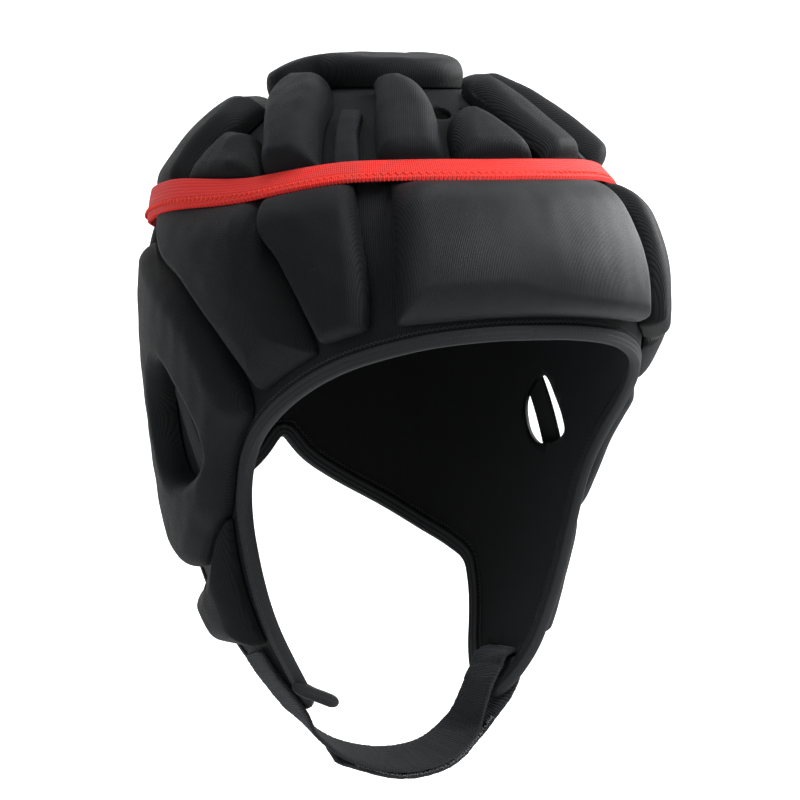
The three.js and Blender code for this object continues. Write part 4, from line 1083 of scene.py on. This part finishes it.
def strap_line():
    """The strap's middle line and its direction across: smooth curves through places on the flaps and
    free points."""
    outside = FLAP_THICK + WRAP_THICK + CLEAR + STRAP_THICK / 2
    lean = np.radians(STRAP_TILT)
    leaning = np.array([0, -np.cos(lean), -np.sin(lean)])
    layer = STRAP_THICK + 1.5 * CLEAR

    def flap(sign, down, lift):
        angle = sign * STRAP_ANGLE
        return skin(angle, down, lift), -sign * unit(form_frame(angle, down)[0])

    free = lambda row: np.array([row[0] * HEAD_WIDTH / 2, row[1] * HEAD_LENGTH / 2, -row[2] * STRAP_DROP])
    first = np.array([free(row) for row in STRAP_FREE])

    def under(point):
        t = np.clip((point[0] / (HEAD_WIDTH / 2) + 0.45) / 0.82, 0, 1)
        along = unit(curve(first, [min(t + 1e-3, 1)])[0] - curve(first, [max(t - 1e-3, 0)])[0])
        return point + unit(np.cross(along, leaning)) * layer

    stops = [flap(-1, down, outside) for down in STRAP_ON_RIGHT_FLAP]
    stops += [(p, leaning) for p in first]
    stops += [flap(1, down, -3.6) for down in STRAP_IN_LEFT_FLAP]
    stops += [flap(1, down, lift) for down, lift in STRAP_TURN]
    stops += [flap(1, down, outside + CLEAR) for down in STRAP_BACK_OVER_FLAP]
    stops += [(under(p), leaning) for p in first[2:][::-1]] + [(under(free(STRAP_END)), leaning)]
    t = np.linspace(0, 1, 620)
    middle = curve(np.array([s[0] for s in stops]), t)
    along = unit(np.gradient(middle, axis=0))
    spot = t * (len(stops) - 1)
    k = np.minimum(spot.astype(int), len(stops) - 2)
    w = eased(spot - k)[:, None]
    turn = np.array([s[1] for s in stops])
    across = turn[k] * (1 - w) + turn[k + 1] * w
    across = unit(across - along * (across * along).sum(-1, keepdims=True))
    return t, middle, along, across


class CAP_OT_chin_strap(bpy.types.Operator):
    """The loop-tape strap, one ribbon from the right flap through the left flap's slot and back"""

    bl_idname = "cap.chin_strap"
    bl_label = "Chin strap"

    def execute(self, context):
        size, look = sizes(), looks()
        t, middle, along, across = strap_line()
        up = np.cross(along, across)
        half, thick = size["strap_width"] / 2, STRAP_THICK / 2
        turn = np.linspace(0, 2 * np.pi, 40, endpoint=False)
        c, s = np.cos(turn), np.sin(turn)
        x = half * np.sign(c) * np.abs(c) ** 0.25
        y = thick * np.sign(s) * np.abs(s) ** 0.6
        wobble = 0.35 * np.sin(t * 71) + 0.25 * np.sin(t * 153 + 1)
        ends = rounded(np.minimum(t, 1 - t) / 0.012, 2.0)
        rng = np.random.default_rng(8)
        fuzz = rng.normal(size=(len(t), 40))
        fuzz = (fuzz + np.roll(fuzz, 1, 0) + np.roll(fuzz, 1, 1)) * 0.03
        wide = x[None] * (1 + wobble[:, None] * 0.02) * (0.75 + 0.25 * ends[:, None])
        profile = np.stack([wide + fuzz * np.sign(x), y[None] + fuzz * np.sign(y)], -1)
        obj = sweep("chin_strap_tape", middle, across, up, profile, look["loop"])
        finish_piece(obj, "chin_strap")
        self.hooks(size, look, t, middle, along, across, up)
        return {"FINISHED"}

    def hooks(self, size, look, t, middle, along, across, up):
        """Rows of small hooks along the returning layer's edge: each a bent peg of five-sided rings."""
        pick = np.nonzero((t > 0.80) & (t < 0.985))[0]
        rng = np.random.default_rng(5)
        count = 420
        at = rng.integers(0, len(pick), count)
        i = pick[at]
        edge = size["strap_width"] / 2 - rng.uniform(0.0, 1.6, count)
        foot = middle[i] + across[i] * edge[:, None] + up[i] * (STRAP_THICK / 2 - 0.1)
        lean = unit(rng.normal(size=(count, 3)) * 0.35 + up[i] + across[i] * 0.5)
        sideways = unit(np.cross(lean, along[i]))
        other = np.cross(lean, sideways)
        turn = np.arange(5) / 5 * 2 * np.pi
        rings = []
        for height, radius, bend in ((0, 0.13, 0), (0.35, 0.11, 0.02), (0.62, 0.1, 0.14), (0.66, 0.06, 0.34)):
            ring = np.cos(turn)[None, :, None] * sideways[:, None] + np.sin(turn)[None, :, None] * other[:,
                    None]
            rings.append(foot[:, None] + lean[:, None] * height + sideways[:, None] * bend + ring * radius)
        pts = np.stack(rings, 1)
        each = 20
        four = (quads(4, 5, close_cols=True)[None] + np.arange(count)[:, None, None] * each).reshape(-1, 4)
        caps = []
        for first in (0, 15):
            r = first + np.arange(5)
            caps += [[r[0], r[1], r[2]], [r[0], r[2], r[3]], [r[0], r[3], r[4]]]
        caps = np.array(caps)
        caps[:3] = caps[:3, ::-1]
        three = (caps[None] + np.arange(count)[:, None, None] * each).reshape(-1, 3)
        flat = pts.reshape(-1, 3)
        obj = build("strap_hooks", flat, four, three, flat[:, :2], [look["hook"]])
        finish_piece(obj)


class CAP_OT_stage(bpy.types.Operator):
    """The pale floor, the lit wall beyond it, the soft lights and the camera"""

    bl_idname = "cap.stage"
    bl_label = "Stage"

    def paper(self, name, glow):
        """Pale paper, faintly uneven; the wall behind the cap is lit."""
        made = bpy.data.materials.new(name)
        made.use_nodes = True
        tree = made.node_tree
        place = node(tree, "ShaderNodeTexCoord").outputs["Object"]
        noise = node(tree, "ShaderNodeTexNoise", {"Vector": place, "Scale": 3.0})
        given = tree.nodes["Principled BSDF"].inputs
        tree.links.new(blend(tree, noise.outputs["Fac"], *PAPER_TONES), given["Base Color"])
        given["Roughness"].default_value = 0.9
        given["Emission Color"].default_value = (1, 1, 1, 1)
        given["Emission Strength"].default_value = glow
        return made

    def execute(self, context):
        scene = context.scene
        scene.view_settings.view_transform = "Standard"
        turn = np.linspace(0, np.pi / 2, 13)
        away = WALL_AWAY - WALL_BEND + WALL_BEND * np.sin(turn)
        bend = np.column_stack([away, WALL_BEND - WALL_BEND * np.cos(turn)])
        profile = np.vstack([bend, [[WALL_AWAY, WALL_TALL]]])
        x = np.linspace(-WALL_HALF, WALL_HALF, 3)
        pts = x[None, :, None] * RIGHT + profile[:, None, :1] * TOWARDS + profile[:, None,
                1:] * np.array([0, 0, 1.0])
        pts = pts.reshape(-1, 3) + [0, 0, FLOOR_AT + 1]
        corners = np.array([[-1, -1, 0], [1, -1, 0], [1, 1, 0], [-1, 1, 0]]) * FLOOR_HALF + [0, 0, FLOOR_AT]
        floor = build("floor", corners, np.array([[0, 1, 2, 3]]), None, None, [self.paper("Pale floor", 0.0)])
        wall = build("wall", pts, quads(len(profile), 3), None, None, [self.paper("Lit wall", 1.0)])
        world = scene.world or bpy.data.worlds.new("Studio")
        scene.world = world
        world.use_nodes = True
        sky = world.node_tree.nodes["Background"]
        sky.inputs[0].default_value = (1.0, 1.0, 1.0, 1)
        sky.inputs[1].default_value = SKY_POWER
        aim = Vector(LIGHTS_AIM)
        for name, (place, width, power) in LIGHTS.items():
            light = bpy.data.lights.new(name, "AREA")
            light.shape, light.size, light.energy = "DISK", width, power
            lamp = bpy.data.objects.new(name, light)
            lamp.location = place
            lamp.rotation_euler = (aim - Vector(place)).to_track_quat("-Z", "Y").to_euler()
            scene.collection.objects.link(lamp)
        lens = bpy.data.cameras.new("camera")
        lens.sensor_width, lens.lens, lens.clip_start, lens.clip_end = 36, VIEW_LENS, 0.05, 40
        camera = bpy.data.objects.new("camera", lens)
        tilt = np.radians(VIEW_TILT)
        way = Vector((TOWARDS[0] * np.cos(tilt), TOWARDS[1] * np.cos(tilt), -np.sin(tilt)))
        camera.location = Vector(VIEW_AT) - way * VIEW_AWAY
        camera.rotation_euler = way.to_track_quat("-Z", "Y").to_euler()
        scene.collection.objects.link(camera)
        scene.camera = camera
        return {"FINISHED"}


OPERATORS = (CAP_OT_stage, CAP_OT_liner, CAP_OT_edge_binding, CAP_OT_crown_band, CAP_OT_crown_pads,
             CAP_OT_side_pads, CAP_OT_ear_pads, CAP_OT_chin_strap)


class CAP_PT_panel(bpy.types.Panel):
    """Lists the sizes, the colours and the pieces"""

    bl_idname = "CAP_PT_panel"
    bl_label = "Scrum cap"
    bl_space_type = "VIEW_3D"
    bl_region_type = "UI"
    bl_category = "Scrum Cap"

    def draw(self, context):
        for group_of in (context.scene.cap_sizes, context.scene.cap_colours):
            for key in type(group_of).__annotations__:
                self.layout.prop(group_of, key)
        for operator in OPERATORS:
            self.layout.operator(operator.bl_idname)


def register():
    for made in (CapSizes, CapColours, *OPERATORS, CAP_PT_panel):
        bpy.utils.register_class(made)
    bpy.types.Scene.cap_sizes = bpy.props.PointerProperty(type=CapSizes)
    bpy.types.Scene.cap_colours = bpy.props.PointerProperty(type=CapColours)


def unregister():
    del bpy.types.Scene.cap_colours
    del bpy.types.Scene.cap_sizes
    for made in reversed((CapSizes, CapColours, *OPERATORS, CAP_PT_panel)):
        bpy.utils.unregister_class(made)


def main():
    register()
    for operator in OPERATORS:
        module, name = operator.bl_idname.split(".")
        getattr(getattr(bpy.ops, module), name)()


if __name__ == "__main__":
    main()
